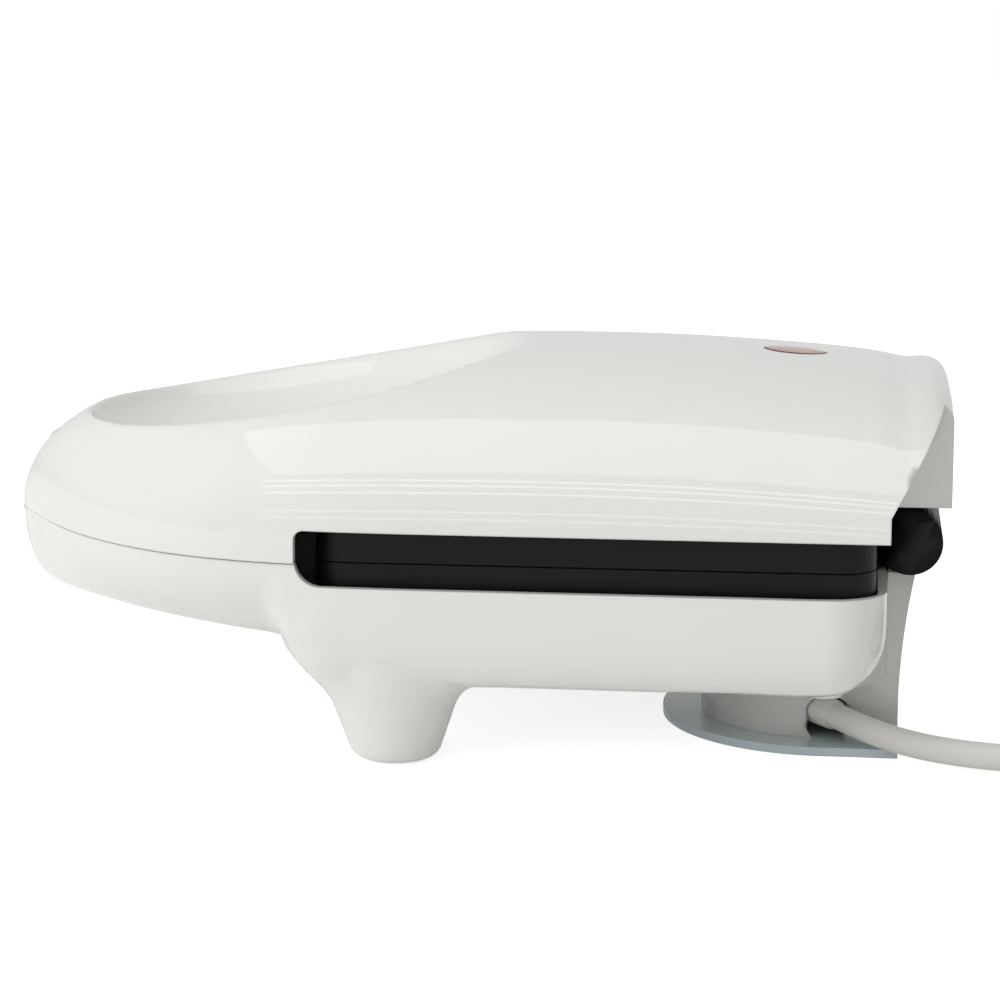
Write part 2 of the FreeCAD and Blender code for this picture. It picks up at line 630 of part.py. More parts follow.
def round_front(front_x, centre_x, half, rear_x, low_z, height):
    """Block with a half-elliptic front and straight sides."""
    centre = Vector(centre_x, 0, low_z)
    reach = centre_x - front_x
    side = Vector(centre_x, half, low_z)
    if reach >= half:
        ellipse = Part.Ellipse(Vector(front_x, 0, low_z), side, centre)
    else:
        ellipse = Part.Ellipse(side, Vector(front_x, 0, low_z), centre)
    near = Vector(centre_x, -half, low_z)
    first, last = sorted((ellipse.parameter(side), ellipse.parameter(near)))
    middle = ellipse.value((first + last) / 2)
    if middle.x > centre_x:
        first, last = last, first + 2 * math.pi
    arc = Part.ArcOfEllipse(ellipse, first, last)
    start, end = arc.StartPoint, arc.EndPoint
    rear_end, rear_start = Vector(rear_x, end.y, low_z), Vector(rear_x, start.y, low_z)
    edges = [arc.toShape()]
    for a, b in ((end, rear_end), (rear_end, rear_start), (rear_start, start)):
        edges.append(Part.LineSegment(a, b).toShape())
    return Part.Face(Part.Wire(edges)).extrude(Vector(0, 0, height))


def rear_stand():
    """Cord core under the tub and the neck behind it that carries the hinge."""
    low, high = S.wrap_thick, FLOOR_Z - S.core_top_gap
    outer = round_front(S.core_front_x, S.core_centre_x, S.core_half_width, S.neck_low_x, low, high - low)
    inner = round_front(S.core_front_x + S.core_wall, S.core_centre_x, S.core_half_width - S.core_wall,
                        S.neck_low_x - S.core_wall, low, high - low)
    inner = inner.cut(trim_box(S.core_front_x, S.neck_low_x, -WIDE, WIDE, high - S.core_wall, high))
    shell = outer.cut(inner)
    neck_front = S.tub_rear_x + S.neck_front_gap
    neck_top = HINGE_Z - S.barrel_radius - S.neck_top_gap
    foot, head = Vector(S.neck_low_x, -S.stand_half_width, low), Vector(S.neck_low_x + S.neck_lean,
                                                                        -S.stand_half_width, neck_top)
    bow = Vector(S.neck_low_x + S.neck_lean * 0.2, -S.stand_half_width, low + (neck_top - low) * 0.55)
    front_low, front_top = Vector(neck_front, -S.stand_half_width, low), Vector(neck_front, -S.stand_half_width,
                                                                                neck_top)
    edges = [Part.Arc(foot, bow, head).toShape()]
    for a, b in ((head, front_top), (front_top, front_low), (front_low, foot)):
        edges.append(Part.LineSegment(a, b).toShape())
    neck = Part.Face(Part.Wire(edges)).extrude(Vector(0, 2 * S.stand_half_width, 0))
    shell = shell.fuse(neck)
    for x, y in BOSSES:
        boss = upright(S.boss_radius, x, y, low, high)
        shell = shell.fuse(boss)
        shell = shell.cut(upright(S.stand_screw_radius + S.running_clearance, x, y, low - 1, high + 1))
    bore = Part.makeCone(S.gland_root_radius + S.gland_gap, S.gland_tip_radius + S.gland_gap, S.gland_length,
                         GLAND_ROOT, EXIT_WAY)
    bore = bore.fuse(Part.makeCylinder(S.gland_tip_radius + S.gland_gap, S.gland_length, EXIT, EXIT_WAY))
    below = bore.copy()
    below.translate(Vector(0, 0, -S.gland_tip_radius))
    window = bore.fuse(below).common(trim_box(S.core_front_x, S.neck_low_x, -S.core_half_width - FAR,
                                              -(S.core_half_width - 3 * S.core_wall), low, high))
    shell = shell.cut(window)
    for sign in (-1, 1):
        low_y, high_y = lug_ends(sign, S.neck_top_gap)
        pocket = trim_box(LUG_X - S.neck_top_gap, LUG_X + S.lug_thick + S.neck_top_gap, low_y, high_y,
                          HINGE_Z - S.lug_depth - S.neck_top_gap, HINGE_Z)
        shell = shell.cut(pocket)
    return shell.removeSplitter()


LUG_X = S.tub_rear_x + S.neck_front_gap + 1.2


def lug_ends(sign, gap):
    """Ends across the body of a base knuckle's lug."""
    low = S.lid_knuckle_half + S.knuckle_gap + S.lug_inset - gap
    high = S.stand_half_width - S.lug_inset + gap
    return sorted((sign * low, sign * high))


def base_knuckle(sign):
    """Outer knuckle of the hinge with the lug that sits in the neck."""
    low = S.lid_knuckle_half + S.knuckle_gap
    half = (S.barrel_half_length - low) / 2
    shape = across(S.barrel_radius, half, S.hinge_x, HINGE_Z, sign * (low + half))
    low_y, high_y = lug_ends(sign, 0.0)
    shape = shape.fuse(trim_box(LUG_X, LUG_X + S.lug_thick, low_y, high_y, HINGE_Z - S.lug_depth, HINGE_Z))
    return shape.cut(across(S.pin_radius, S.barrel_half_length - S.knuckle_cap, S.hinge_x, HINGE_Z)).removeSplitter()


def lid_knuckle():
    """Middle knuckle of the hinge with the arm that runs up into the lid's hinge block."""
    shape = across(S.barrel_radius, S.lid_knuckle_half, S.hinge_x, HINGE_Z)
    shape = shape.fuse(trim_box(S.hinge_x - S.arm_thick / 2, S.hinge_x + S.arm_thick / 2, -S.arm_half_width,
                                S.arm_half_width, HINGE_Z, HINGE_Z + S.arm_height))
    shape = shape.cut(across(S.pin_radius + S.running_clearance, S.lid_knuckle_half, S.hinge_x, HINGE_Z))
    for sign in (-1, 1):
        y = sign * S.arm_half_width / 2
        top = HINGE_Z + S.arm_height
        shape = shape.cut(upright(S.screw_radius + S.screw_clearance, S.hinge_x, y, top - S.screw_grip, top))
    return shape.removeSplitter()


# Cord, its coil and its plug

def arc_edge(start, tangent, end):
    """Arc from a start point and tangent to an end point."""
    chord = end - start
    along = Vector(chord).normalize()
    across_part = tangent - along * tangent.dot(along)
    if across_part.Length < 1e-7:
        return Part.LineSegment(start, end).toShape()
    half_turn = math.acos(max(-1.0, min(1.0, tangent.dot(along)))) / 2
    middle = start + chord * 0.5 + across_part.normalize() * (chord.Length / 2 * math.tan(half_turn))
    return Part.Arc(start, middle, end).toShape()


def biarc(start, start_way, end, end_way):
    """Two arcs that join two points smoothly in space."""
    gap = end - start
    total = start_way + end_way
    bend = 2 * (1 - start_way.dot(end_way))
    reach = gap.dot(total)
    if bend < 1e-9:
        arm = gap.dot(gap) / (2 * reach) if abs(reach) > 1e-9 else gap.Length / 2
    else:
        arm = (-reach + math.sqrt(reach * reach + bend * gap.dot(gap))) / bend
    joint = (start + end + (start_way - end_way) * arm) * 0.5
    first = arc_edge(start, start_way, joint)
    second_back = arc_edge(end, end_way * -1, joint)
    return [first, Part.Wire([second_back]).Edges[0]]


def tube(path, radius, start, way):
    """Round tube along a path."""
    ring = Part.Wire([Part.Circle(start, way, radius).toShape()])
    return path.makePipeShell([ring], True, False)


def cord_tube():
    """Free cord: straight runs joined by arcs as large as the runs allow."""
    points = [Vector(*point) for point in CORD_ROUTE]
    edges, here = [], points[0]
    for before, corner, after in zip(points, points[1:], points[2:]):
        come, leave = corner - before, after - corner
        turn = come.getAngle(leave)
        cut_back = 0.45 * min(come.Length, leave.Length)
        radius = cut_back / math.tan(turn / 2)
        print(f"cord bend radius {radius:.1f} mm")
        come.normalize()
        start, end = corner - come * cut_back, corner + Vector(leave).normalize() * cut_back
        edges.append(Part.LineSegment(here, start).toShape())
        edges.append(arc_edge(start, come, end))
        here = end
    edges.append(Part.LineSegment(here, points[-1]).toShape())
    path = Part.Wire(edges)
    solid = tube(path, S.cord_diameter / 2, points[0], points[1] - points[0])
    wanted = math.pi * S.cord_diameter ** 2 / 4 * path.Length
    print(f"cord length {path.Length:.1f} mm, volume ratio {solid.Volume / wanted:.4f}")
    return solid


COIL_START = Vector(*CORD_ROUTE[-1])
COIL_CENTRE = COIL_START + Vector(0, S.coil_start_radius, 0)
CLIMB = 0.5


def coil_point(turns):
    """Centre line of the coil after a number of turns: in on the table, up a layer, out again on top."""
    rate = S.coil_pitch
    layer = S.cord_diameter + S.layer_gap
    inner = S.coil_start_radius - rate * S.coil_turns_in
    if turns <= S.coil_turns_in:
        radius, lift = S.coil_start_radius - rate * turns, 0.0
    elif turns <= S.coil_turns_in + CLIMB:
        part = turns - S.coil_turns_in
        radius = inner - rate * part + rate * part * part / CLIMB
        lift = layer * smooth_step(part, 0, CLIMB)
    else:
        radius, lift = inner + rate * (turns - S.coil_turns_in - CLIMB), layer
    ease = smooth_step(turns, 0, 0.25) * turns
    radius = S.coil_start_radius - rate * ease if turns < 0.25 else radius
    angle = -math.pi / 2 + 2 * math.pi * turns
    return COIL_CENTRE + Vector(radius * math.cos(angle), radius * math.sin(angle), lift)


def coil_way(turns):
    """Direction of the coil's centre line."""
    small = 1e-4
    return (coil_point(turns + small) - coil_point(max(0.0, turns - small))).normalize()


COIL_TURNS = S.coil_turns_in + CLIMB + S.coil_turns_out
COIL_END = coil_point(COIL_TURNS)
PLUG_START = COIL_END + Vector(0, 1, 0) * S.plug_tail


def cord_coil():
    """Put-away length of the cord, one unbroken tube of loops, ending at the plug."""
    quarter = 0.25
    count = round(COIL_TURNS / quarter)
    places = [COIL_TURNS * i / count for i in range(count + 1)]
    ways = [coil_way(place) for place in places]
    ways[0], ways[-1] = Vector(1, 0, 0), Vector(0, 1, 0)
    edges = []
    for a, b, way_a, way_b in zip(places, places[1:], ways, ways[1:]):
        edges += biarc(coil_point(a), way_a, coil_point(b), way_b)
    edges.append(Part.LineSegment(COIL_END, PLUG_START).toShape())
    path = Part.Wire(Part.__sortEdges__(edges))
    solid = tube(path, S.cord_diameter / 2, COIL_START, Vector(1, 0, 0))
    marks = path.discretize(Number=400)
    step = path.Length / 399
    skip = int(2.5 * S.cord_diameter / step) + 1
    least = min((marks[i] - marks[j]).Length for i in range(400) for j in range(i + skip, 400))
    print(f"coil length {path.Length:.1f} mm, least gap to itself {least - S.cord_diameter:.2f} mm")
    wanted = math.pi * S.cord_diameter ** 2 / 4 * path.Length
    print(f"coil volume ratio {solid.Volume / wanted:.4f}, valid {solid.isValid()}")
    return solid


EXIT = Vector(*CORD_ROUTE[0])
EXIT_WAY = (Vector(*CORD_ROUTE[1]) - EXIT).normalize()
GLAND_ROOT = EXIT - EXIT_WAY * S.gland_length

# Housings and latch
node(feature("lid_shell", lid_housing()), "lid_housing")
node(feature("base_shell", base_housing()), "base_housing")
node(feature("latch_strap", latch()), "latch")
node(feature("stand_shell", rear_stand()), "rear_stand")
node(cylinder("latch_pin_rod", "latch_pin_radius", "2 * (latch_half_width + latch_gap + latch_rib)",
              ("latch_pivot_x", "-(latch_half_width + latch_gap + latch_rib)", str(PIVOT_Z)), ALONG_Y), "latch_pin")

FLOOR_TOP_RULE = "parting_z - parting_gap / 2 - tub_depth + housing_wall + seat_gap"

# Feet and the cord-wrap plate
pads = [cylinder(f"front_pad_{side}", "foot_low_radius - foot_round - pad_inset", "pad_height",
                 ("foot_x", f"{sign} * foot_y", "0"))
        for side, sign in (("near", -1), ("far", 1))]
node(group("front_pads", pads), "front_foot_pads")
rear_pad_at = ("boss_rear_x - 2 * rear_pad_radius", "wrap_half_width - 2 * rear_pad_radius")
rear_pads = [cylinder(f"rear_pad_{side}", "rear_pad_radius", "rear_pad_thick",
                      (rear_pad_at[0], f"{sign} * ({rear_pad_at[1]})", "0"))
             for side, sign in (("near", -1), ("far", 1))]
node(group("rear_pads", rear_pads), "rear_foot_pads")
wrap_blank = feature("wrap_blank", round_front(S.wrap_front_x, S.wrap_centre_x, S.wrap_half_width, S.neck_low_x,
                                               0.0, S.wrap_thick))
wrap_holes = [cylinder(f"wrap_pad_seat_{i}", "rear_pad_radius + screw_clearance", "rear_pad_thick",
                       (rear_pad_at[0], f"{sign} * ({rear_pad_at[1]})", "0")) for i, sign in enumerate((-1, 1))]
for i, (x, y) in enumerate((("boss_front_x", "0"), ("boss_rear_x", "-boss_rear_y"), ("boss_rear_x", "boss_rear_y"))):
    wrap_holes.append(cylinder(f"wrap_hole_{i}", "stand_screw_radius + screw_clearance", "wrap_thick", (x, y, "0")))
    wrap_holes.append(cylinder(f"wrap_sink_{i}", "stand_screw_head + screw_clearance", "wrap_thick / 2", (x, y, "0")))
node(cut("wrap_plate", wrap_blank, wrap_holes), "cord_wrap_plate")
wrap_screws, stand_screws = [], []
for i, (x, y) in enumerate((("boss_front_x", "0"), ("boss_rear_x", "-boss_rear_y"), ("boss_rear_x", "boss_rear_y"))):
    wrap_screws.append(fuse(f"wrap_screw_{i}", [
        cylinder(f"wrap_head_{i}", "stand_screw_head", "wrap_thick / 2 - screw_clearance",
                 (x, y, "screw_clearance")),
        cylinder(f"wrap_shank_{i}", "stand_screw_radius", "wrap_thick + screw_grip - screw_clearance",
                 (x, y, "screw_clearance"))]))
    stand_screws.append(fuse(f"stand_screw_{i}", [
        cylinder(f"stand_head_{i}", "stand_screw_head", "screw_head_height",
                 (x, y, FLOOR_TOP_RULE)),
        cylinder(f"stand_shank_{i}", "stand_screw_radius", "housing_wall + screw_grip",
                 (x, y, FLOOR_TOP_RULE + " - housing_wall - screw_grip"))]))
node(group("wrap_screws", wrap_screws), "wrap_plate_screws")
node(group("stand_screw_set", stand_screws), "stand_screws")


def plate(name, label, face_z, side):
    """Cooking plate whose face is at face_z and whose back is towards `side` (+1 up, -1 down)."""
    low = f"({face_z}) - plate_edge" if side < 0 else face_z
    sides = ("plate_front_x", "plate_rear_x", "-plate_half_width", "plate_half_width")
    slab = padded_rectangle(name + "_slab", sides, low, "plate_edge", "plate_corner")
    inner = [f"{text} {sign} plate_rim" for text, sign in zip(sides, "+-+-")]
    back_low = f"({face_z}) - plate_edge" if side < 0 else f"({face_z}) + plate_face"
    back = padded_rectangle(name + "_back", inner, back_low, "plate_edge - plate_face",
                            "plate_corner - plate_rim")
    hollow = cut(name + "_hollow", slab, [back])
    centre_x = "(plate_front_x + plate_rear_x) / 2"
    level = f"({face_z}) + {side} * ring_lead"
    row = "ring_pitch * 0.8660254"
    spots = [("0", "-ring_pitch"), ("0", "0"), ("0", "ring_pitch")]
    spots += [(f"{a} * {row}", f"{b} * ring_pitch / 2") for a in (-1, 1) for b in (-1, 1)]
    bosses, grooves = [], []
    for i, (dx, dy) in enumerate(spots):
        at = (f"{centre_x} + {dx}", dy, level)
        bosses.append(torus(f"{name}_boss_{i}", "ring_radius", "ring_groove + ring_wall", at))
        grooves.append(torus(f"{name}_ring_{i}", "ring_radius", "ring_groove", at))
    front_low = face_z if side < 0 else f"({face_z}) - 4 * ring_groove"
    trim = box(name + "_front_trim", ("plate_front_x - plate_edge", "-plate_half_width - plate_edge", front_low),
               ("plate_rear_x - plate_front_x + 2 * plate_edge", "2 * (plate_half_width + plate_edge)",
                "4 * ring_groove"))
    posts, holes = [], []
    post_low = f"({face_z}) - plate_face" if side < 0 else f"({face_z}) + plate_face"
    for i, (x, y) in enumerate(((a, b) for a in ("plate_front_x + post_inset", "plate_rear_x - post_inset")
                                for b in ("-(plate_half_width - post_inset)", "plate_half_width - post_inset"))):
        reach = "ring_groove + ring_wall + ring_lead + heater_gap + 2 * heater_radius + reflector_gap"
        start = post_low if side > 0 else f"({face_z}) - ({reach})"
        posts.append(cylinder(f"{name}_post_{i}", "post_radius", f"{reach} - plate_face", (x, y, start)))
        hole_low = f"({face_z}) - ({reach}) - 1" if side < 0 else f"({face_z}) - 1"
        holes.append(cylinder(f"{name}_hole_{i}", "screw_radius + screw_clearance", f"{reach} + 2",
                              (x, y, hole_low)))
        sink_low = f"({face_z}) - screw_head_height" if side < 0 else face_z
        holes.append(cylinder(f"{name}_sink_{i}", "screw_head_radius + screw_clearance", "screw_head_height",
                              (x, y, sink_low)))
    notch = box(name + "_notch", ("hinge_x - barrel_radius - notch_clearance",
                                  "-barrel_half_length - notch_clearance", "0"),
                ("barrel_radius * 4", "2 * (barrel_half_length + notch_clearance)", "2 * parting_z"))
    solid = fuse(name + "_cast", [hollow] + bosses + posts)
    return node(cut(name + "_plate", solid, grooves + holes + [trim, notch]), label)


LOWER_FACE = "parting_z - plate_gap / 2"
UPPER_FACE = "parting_z + plate_gap / 2"
plate("lower", "lower_plate", LOWER_FACE, -1)
plate("upper", "upper_plate", UPPER_FACE, 1)


def heater(name, label, level):
    """Tubular heater: a U laid behind the rings, with both ends at the rear."""
    rear = S.plate_rear_x - S.heater_rear_inset - S.barrel_radius
    middle = (S.plate_front_x + S.plate_rear_x) / 2
    bend = S.heater_bend
    near, far = Vector(rear, -bend, level), Vector(rear, bend, level)
    near_front, far_front = Vector(middle, -bend, level), Vector(middle, bend, level)
    path = Part.Wire([Part.LineSegment(near, near_front).toShape(),
                      Part.Arc(near_front, Vector(middle - bend, 0, level), far_front).toShape(),
                      Part.LineSegment(far_front, far).toShape()])
    return node(feature(name, tube(path, S.heater_radius, near, Vector(-1, 0, 0))), label)


heater("lower_element", "lower_heater", LOWER_HEATER_Z)
heater("upper_element", "upper_heater", UPPER_HEATER_Z)

sheet_sides = ("plate_front_x + reflector_front_inset", "hinge_x - barrel_radius - notch_clearance - reflector_inset",
               "-plate_half_width + reflector_inset", "plate_half_width - reflector_inset")
for name, label, low_z in (("lower_sheet", "lower_reflector", str(LOWER_SHEET_TOP - S.reflector_thick)),
                           ("upper_sheet", "upper_reflector", str(UPPER_SHEET_LOW))):
    blank = padded_rectangle(name + "_blank", sheet_sides, low_z, "reflector_thick", "plate_corner")
    holes = [cylinder(f"{name}_hole_{i}", "screw_radius + screw_clearance", "reflector_thick",
                      (str(x), str(y), low_z)) for i, (x, y) in enumerate(POSTS)]
    node(cut(name, blank, holes), label)


def plate_screws(name, label, face_z, side):
    """Four screws sunk in a plate's face, through its posts and the reflector into the housing."""
    reach = ("ring_groove + ring_wall + ring_lead + heater_gap + 2 * heater_radius + reflector_gap"
             " + reflector_thick + screw_grip")
    items = []
    for i, (x, y) in enumerate(POSTS):
        head_low = f"({face_z}) - screw_head_height" if side < 0 else face_z
        shank_low = f"({face_z}) - ({reach})" if side < 0 else face_z
        head = cylinder(f"{name}_head_{i}", "screw_head_radius", "screw_head_height", (str(x), str(y), head_low))
        shank = cylinder(f"{name}_shank_{i}", "screw_radius", reach, (str(x), str(y), shank_low))
        items.append(fuse(f"{name}_{i}", [head, shank]))
    return node(group(name, items), label)


plate_screws("lower_screw", "lower_plate_screws", LOWER_FACE, -1)
plate_screws("upper_screw", "upper_plate_screws", UPPER_FACE, 1)

# Sensors and terminals
SENSOR_TOP = "parting_z - plate_gap / 2 - plate_face"
node(cylinder("thermostat_can", "thermostat_radius", "thermostat_height",
              ("plate_rear_x - sensor_inset_x", "-(plate_half_width - sensor_inset_y)",
               SENSOR_TOP + " - thermostat_height")), "thermostat")
node(cylinder("fuse_can", "fuse_radius", "fuse_length",
              ("plate_rear_x - sensor_inset_x - fuse_length / 2", "plate_half_width - sensor_inset_y",
               SENSOR_TOP + " - fuse_radius"), ALONG_X), "thermal_fuse")
node(box("terminals", ("core_centre_x - terminal_length", "terminal_width", FLOOR_TOP_RULE + " + terminal_lift"),
         ("terminal_length", "terminal_width", "terminal_height")), "terminal_block")

# Hinge
node(feature("near_knuckle", base_knuckle(-1)), "base_knuckle_near")
node(feature("far_knuckle", base_knuckle(1)), "base_knuckle_far")
node(feature("middle_knuckle", lid_knuckle()), "lid_knuckle")
node(cylinder("hinge_rod", "pin_radius", "2 * (barrel_half_length - knuckle_cap)",
              ("hinge_x", "-(barrel_half_length - knuckle_cap)", "parting_z + hinge_rise"), ALONG_Y), "hinge_pin")
arm_screws = [cylinder(f"arm_screw_{i}", "screw_radius", "2 * screw_grip",
                       ("hinge_x", f"{sign} * arm_half_width / 2",
                        "parting_z + hinge_rise + arm_height - screw_grip"))
              for i, sign in enumerate((-1, 1))]
node(group("arm_screw_set", arm_screws), "hinge_arm_screws")

# Indicator
LENS_TOP = S.parting_z + crest_rise(S.lens_x)
lens = lens_block(0.0, LENS_TOP - S.lens_depth, LENS_TOP + S.lens_rise)
node(feature("lens_leaf", lens), "indicator_lens")
bezel = lens_block(S.bezel_width, LENS_TOP - S.lens_depth, LENS_TOP + S.bezel_rise)
node(feature("bezel_leaf", bezel.cut(lens_block(0.0, 0.0, LID_TOP))), "indicator_bezel")
lamp_low = LENS_TOP - S.lens_depth - S.lamp_length
holder = cylinder("holder_tube", "lamp_radius + holder_wall", "lamp_length", ("lens_x", "0", str(lamp_low)))
holder_bore = cylinder("holder_bore", "lamp_radius", "lamp_length", ("lens_x", "0", str(lamp_low)))
node(cut("holder", holder, [holder_bore]), "lamp_holder")
node(cylinder("lamp_glass", "lamp_radius", "lamp_length", ("lens_x", "0", str(lamp_low))), "neon_lamp")

# Strain relief, clamp, cord and plug
gland = Part.makeCone(S.gland_root_radius, S.gland_tip_radius, S.gland_length, GLAND_ROOT, EXIT_WAY)
node(feature("gland_sleeve", gland), "cord_gland")
clamp = trim_box(GLAND_ROOT.x - S.clamp_width / 2, GLAND_ROOT.x + S.clamp_width / 2,
                 GLAND_ROOT.y - S.clamp_width / 2, GLAND_ROOT.y + S.clamp_width / 2,
                 S.wrap_thick, S.wrap_thick + S.clamp_height)
node(feature("clamp_block", clamp.cut(gland)), "cord_clamp")
node(feature("cord_run", cord_tube()), "power_cord")
node(feature("coil_run", cord_coil()), "cord_coil")
plug_cone = Part.makeCone(S.plug_neck_radius, S.plug_radius, S.plug_length - S.plug_face_length, PLUG_START,
                          Vector(0, 1, 0))
plug_face = Part.makeCylinder(S.plug_radius, S.plug_face_length,
                              PLUG_START + Vector(0, S.plug_length - S.plug_face_length, 0), Vector(0, 1, 0))
node(feature("plug_shell", plug_cone.fuse(plug_face).removeSplitter()), "plug_body")
pin_items = [Part.makeCylinder(S.plug_pin_radius, S.plug_pin_length,
                               PLUG_START + Vector(sign * S.plug_pin_spacing / 2, S.plug_length, 0), Vector(0, 1, 0))
             for sign in (-1, 1)]
node(feature("plug_pin_pair", Part.makeCompound(pin_items)), "plug_pins")
tie_marks = [coil_point(turns) for turns in (0.5, S.coil_turns_in, S.coil_turns_in + 1)]
tie_low = min(mark.y for mark in tie_marks) - S.cord_diameter / 2 - S.tie_clearance
tie_high = max(mark.y for mark in tie_marks) + S.cord_diameter / 2 + S.tie_clearance
tie_floor = COIL_START.z - S.cord_diameter / 2 - S.tie_clearance
tie_roof = COIL_END.z + S.cord_diameter / 2 + S.tie_clearance
tie_x = (COIL_CENTRE.x - S.tie_width / 2, COIL_CENTRE.x + S.tie_width / 2)
tie = trim_box(*tie_x, tie_low - S.tie_thick, tie_high + S.tie_thick, tie_floor - S.tie_thick,
               tie_roof + S.tie_thick).cut(trim_box(*tie_x, tie_low, tie_high, tie_floor, tie_roof))
node(feature("tie_band", tie), "cord_tie")

# Check every object and write the sub-parts
doc.recompute()
for item in doc.Objects:
    if "Invalid" in item.State or "Error" in item.State:
        raise RuntimeError(f"{item.Name} failed: {item.State}")
os.makedirs("parts", exist_ok=True)
for item in NODES:
    shape = item.Shape
    if shape.isNull() or not shape.isValid() or not shape.Solids:
        raise RuntimeError(f"{item.Label} has no valid shape")
    print(f"{item.Label}: {len(shape.Solids)} solids, {shape.Volume / 1000:.2f} cm3")
    shape.exportStep(f"parts/{item.Label}.step")
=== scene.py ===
import logging
import math
from dataclasses import dataclass, field
from enum import Enum
from typing import Callable, Sequence

import bmesh
import bpy
import numpy as np
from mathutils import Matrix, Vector


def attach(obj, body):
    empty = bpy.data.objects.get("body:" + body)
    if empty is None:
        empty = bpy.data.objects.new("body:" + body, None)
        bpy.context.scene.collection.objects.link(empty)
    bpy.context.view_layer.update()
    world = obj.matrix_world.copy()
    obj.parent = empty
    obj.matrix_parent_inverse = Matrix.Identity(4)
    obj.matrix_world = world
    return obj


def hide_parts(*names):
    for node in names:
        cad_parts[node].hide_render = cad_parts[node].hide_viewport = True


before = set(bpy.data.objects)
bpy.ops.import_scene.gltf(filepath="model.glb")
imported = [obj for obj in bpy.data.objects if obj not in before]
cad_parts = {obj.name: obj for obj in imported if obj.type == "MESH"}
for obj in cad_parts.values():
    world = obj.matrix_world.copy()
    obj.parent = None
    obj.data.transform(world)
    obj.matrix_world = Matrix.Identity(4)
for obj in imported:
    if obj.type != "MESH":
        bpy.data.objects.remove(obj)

log = logging.getLogger("donut_maker")
MM = 0.001
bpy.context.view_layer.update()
Colour = tuple[float, float, float, float]
Field = Callable[[np.ndarray], np.ndarray]
WHITE: Colour = (1.0, 1.0, 1.0, 1.0)

# Where the mottle's colour ramp starts and ends, and the least roughness that it leaves
MOTTLE_RAMP = (0.3, 0.7)
LEAST_ROUGHNESS = 0.02
# How far red, green and blue scatter below a surface, and the unit of that in metres
SCATTER_RADIUS = (1.0, 0.6, 0.5)
SCATTER_SCALE = 0.002
# Corners nearer than this are one, and edges shorter than this are none, in metres
WELD_DISTANCE = 2e-6
SHORTEST_EDGE = 1e-7
# Spacing of the differences on a melted surface, in metres
MELT_STEP = 8e-5
# Limits that keep the fields' powers, roots and quotients finite
TINY = 1e-6
NO_LENGTH = 1e-9
ROUND_END = 0.9999
HANDLE_END = 0.99999
LEAST_MM = 0.5


def srgb(hex_code: str) -> Colour:
    """Turns an sRGB hex value into linear colour.

    Args:
        hex_code: six hex digits, such as "f0f0ee".

    Returns:
        Linear red, green, blue and an alpha of 1.
    """
    parts = [int(hex_code[i:i + 2], 16) / 255 for i in (0, 2, 4)]
    linear = [c / 12.92 if c <= 0.04045 else ((c + 0.055) / 1.055) ** 2.4 for c in parts]
    return (linear[0], linear[1], linear[2], 1.0)


def add_node(tree: bpy.types.NodeTree, kind: str, settings: dict | None = None,
             links: dict | None = None) -> bpy.types.Node:
    """Adds a shader node with its settings and links.

    Args:
        tree: the material's node tree.
        kind: the node's type name.
        settings: node properties by name, or input values by socket name or number.
        links: output sockets to link, by input socket name or number.

    Returns:
        The new node.
    """
    made = tree.nodes.new(kind)
    for key, value in (settings or {}).items():
        if isinstance(key, int) or key in made.inputs:
            made.inputs[key].default_value = value
        else:
            setattr(made, key, value)
    for key, socket in (links or {}).items():
        tree.links.new(socket, made.inputs[key])
    return made


def bare_tree(owner: bpy.types.Material | bpy.types.World) -> bpy.types.NodeTree:
    """Turns on the nodes of a material or world.

    Args:
        owner: the material or world.

    Returns:
        Its node tree, emptied.
    """
    owner.use_nodes = True
    owner.node_tree.nodes.clear()
    return owner.node_tree


def add_object(name: str, data: bpy.types.ID) -> bpy.types.Object:
    """Makes an object at the origin and links it to the scene.

    Args:
        name: its name.
        data: its mesh, curve, lamp or camera.

    Returns:
        The new object.
    """
    made = bpy.data.objects.new(name, data)
    bpy.context.scene.collection.objects.link(made)
    return made


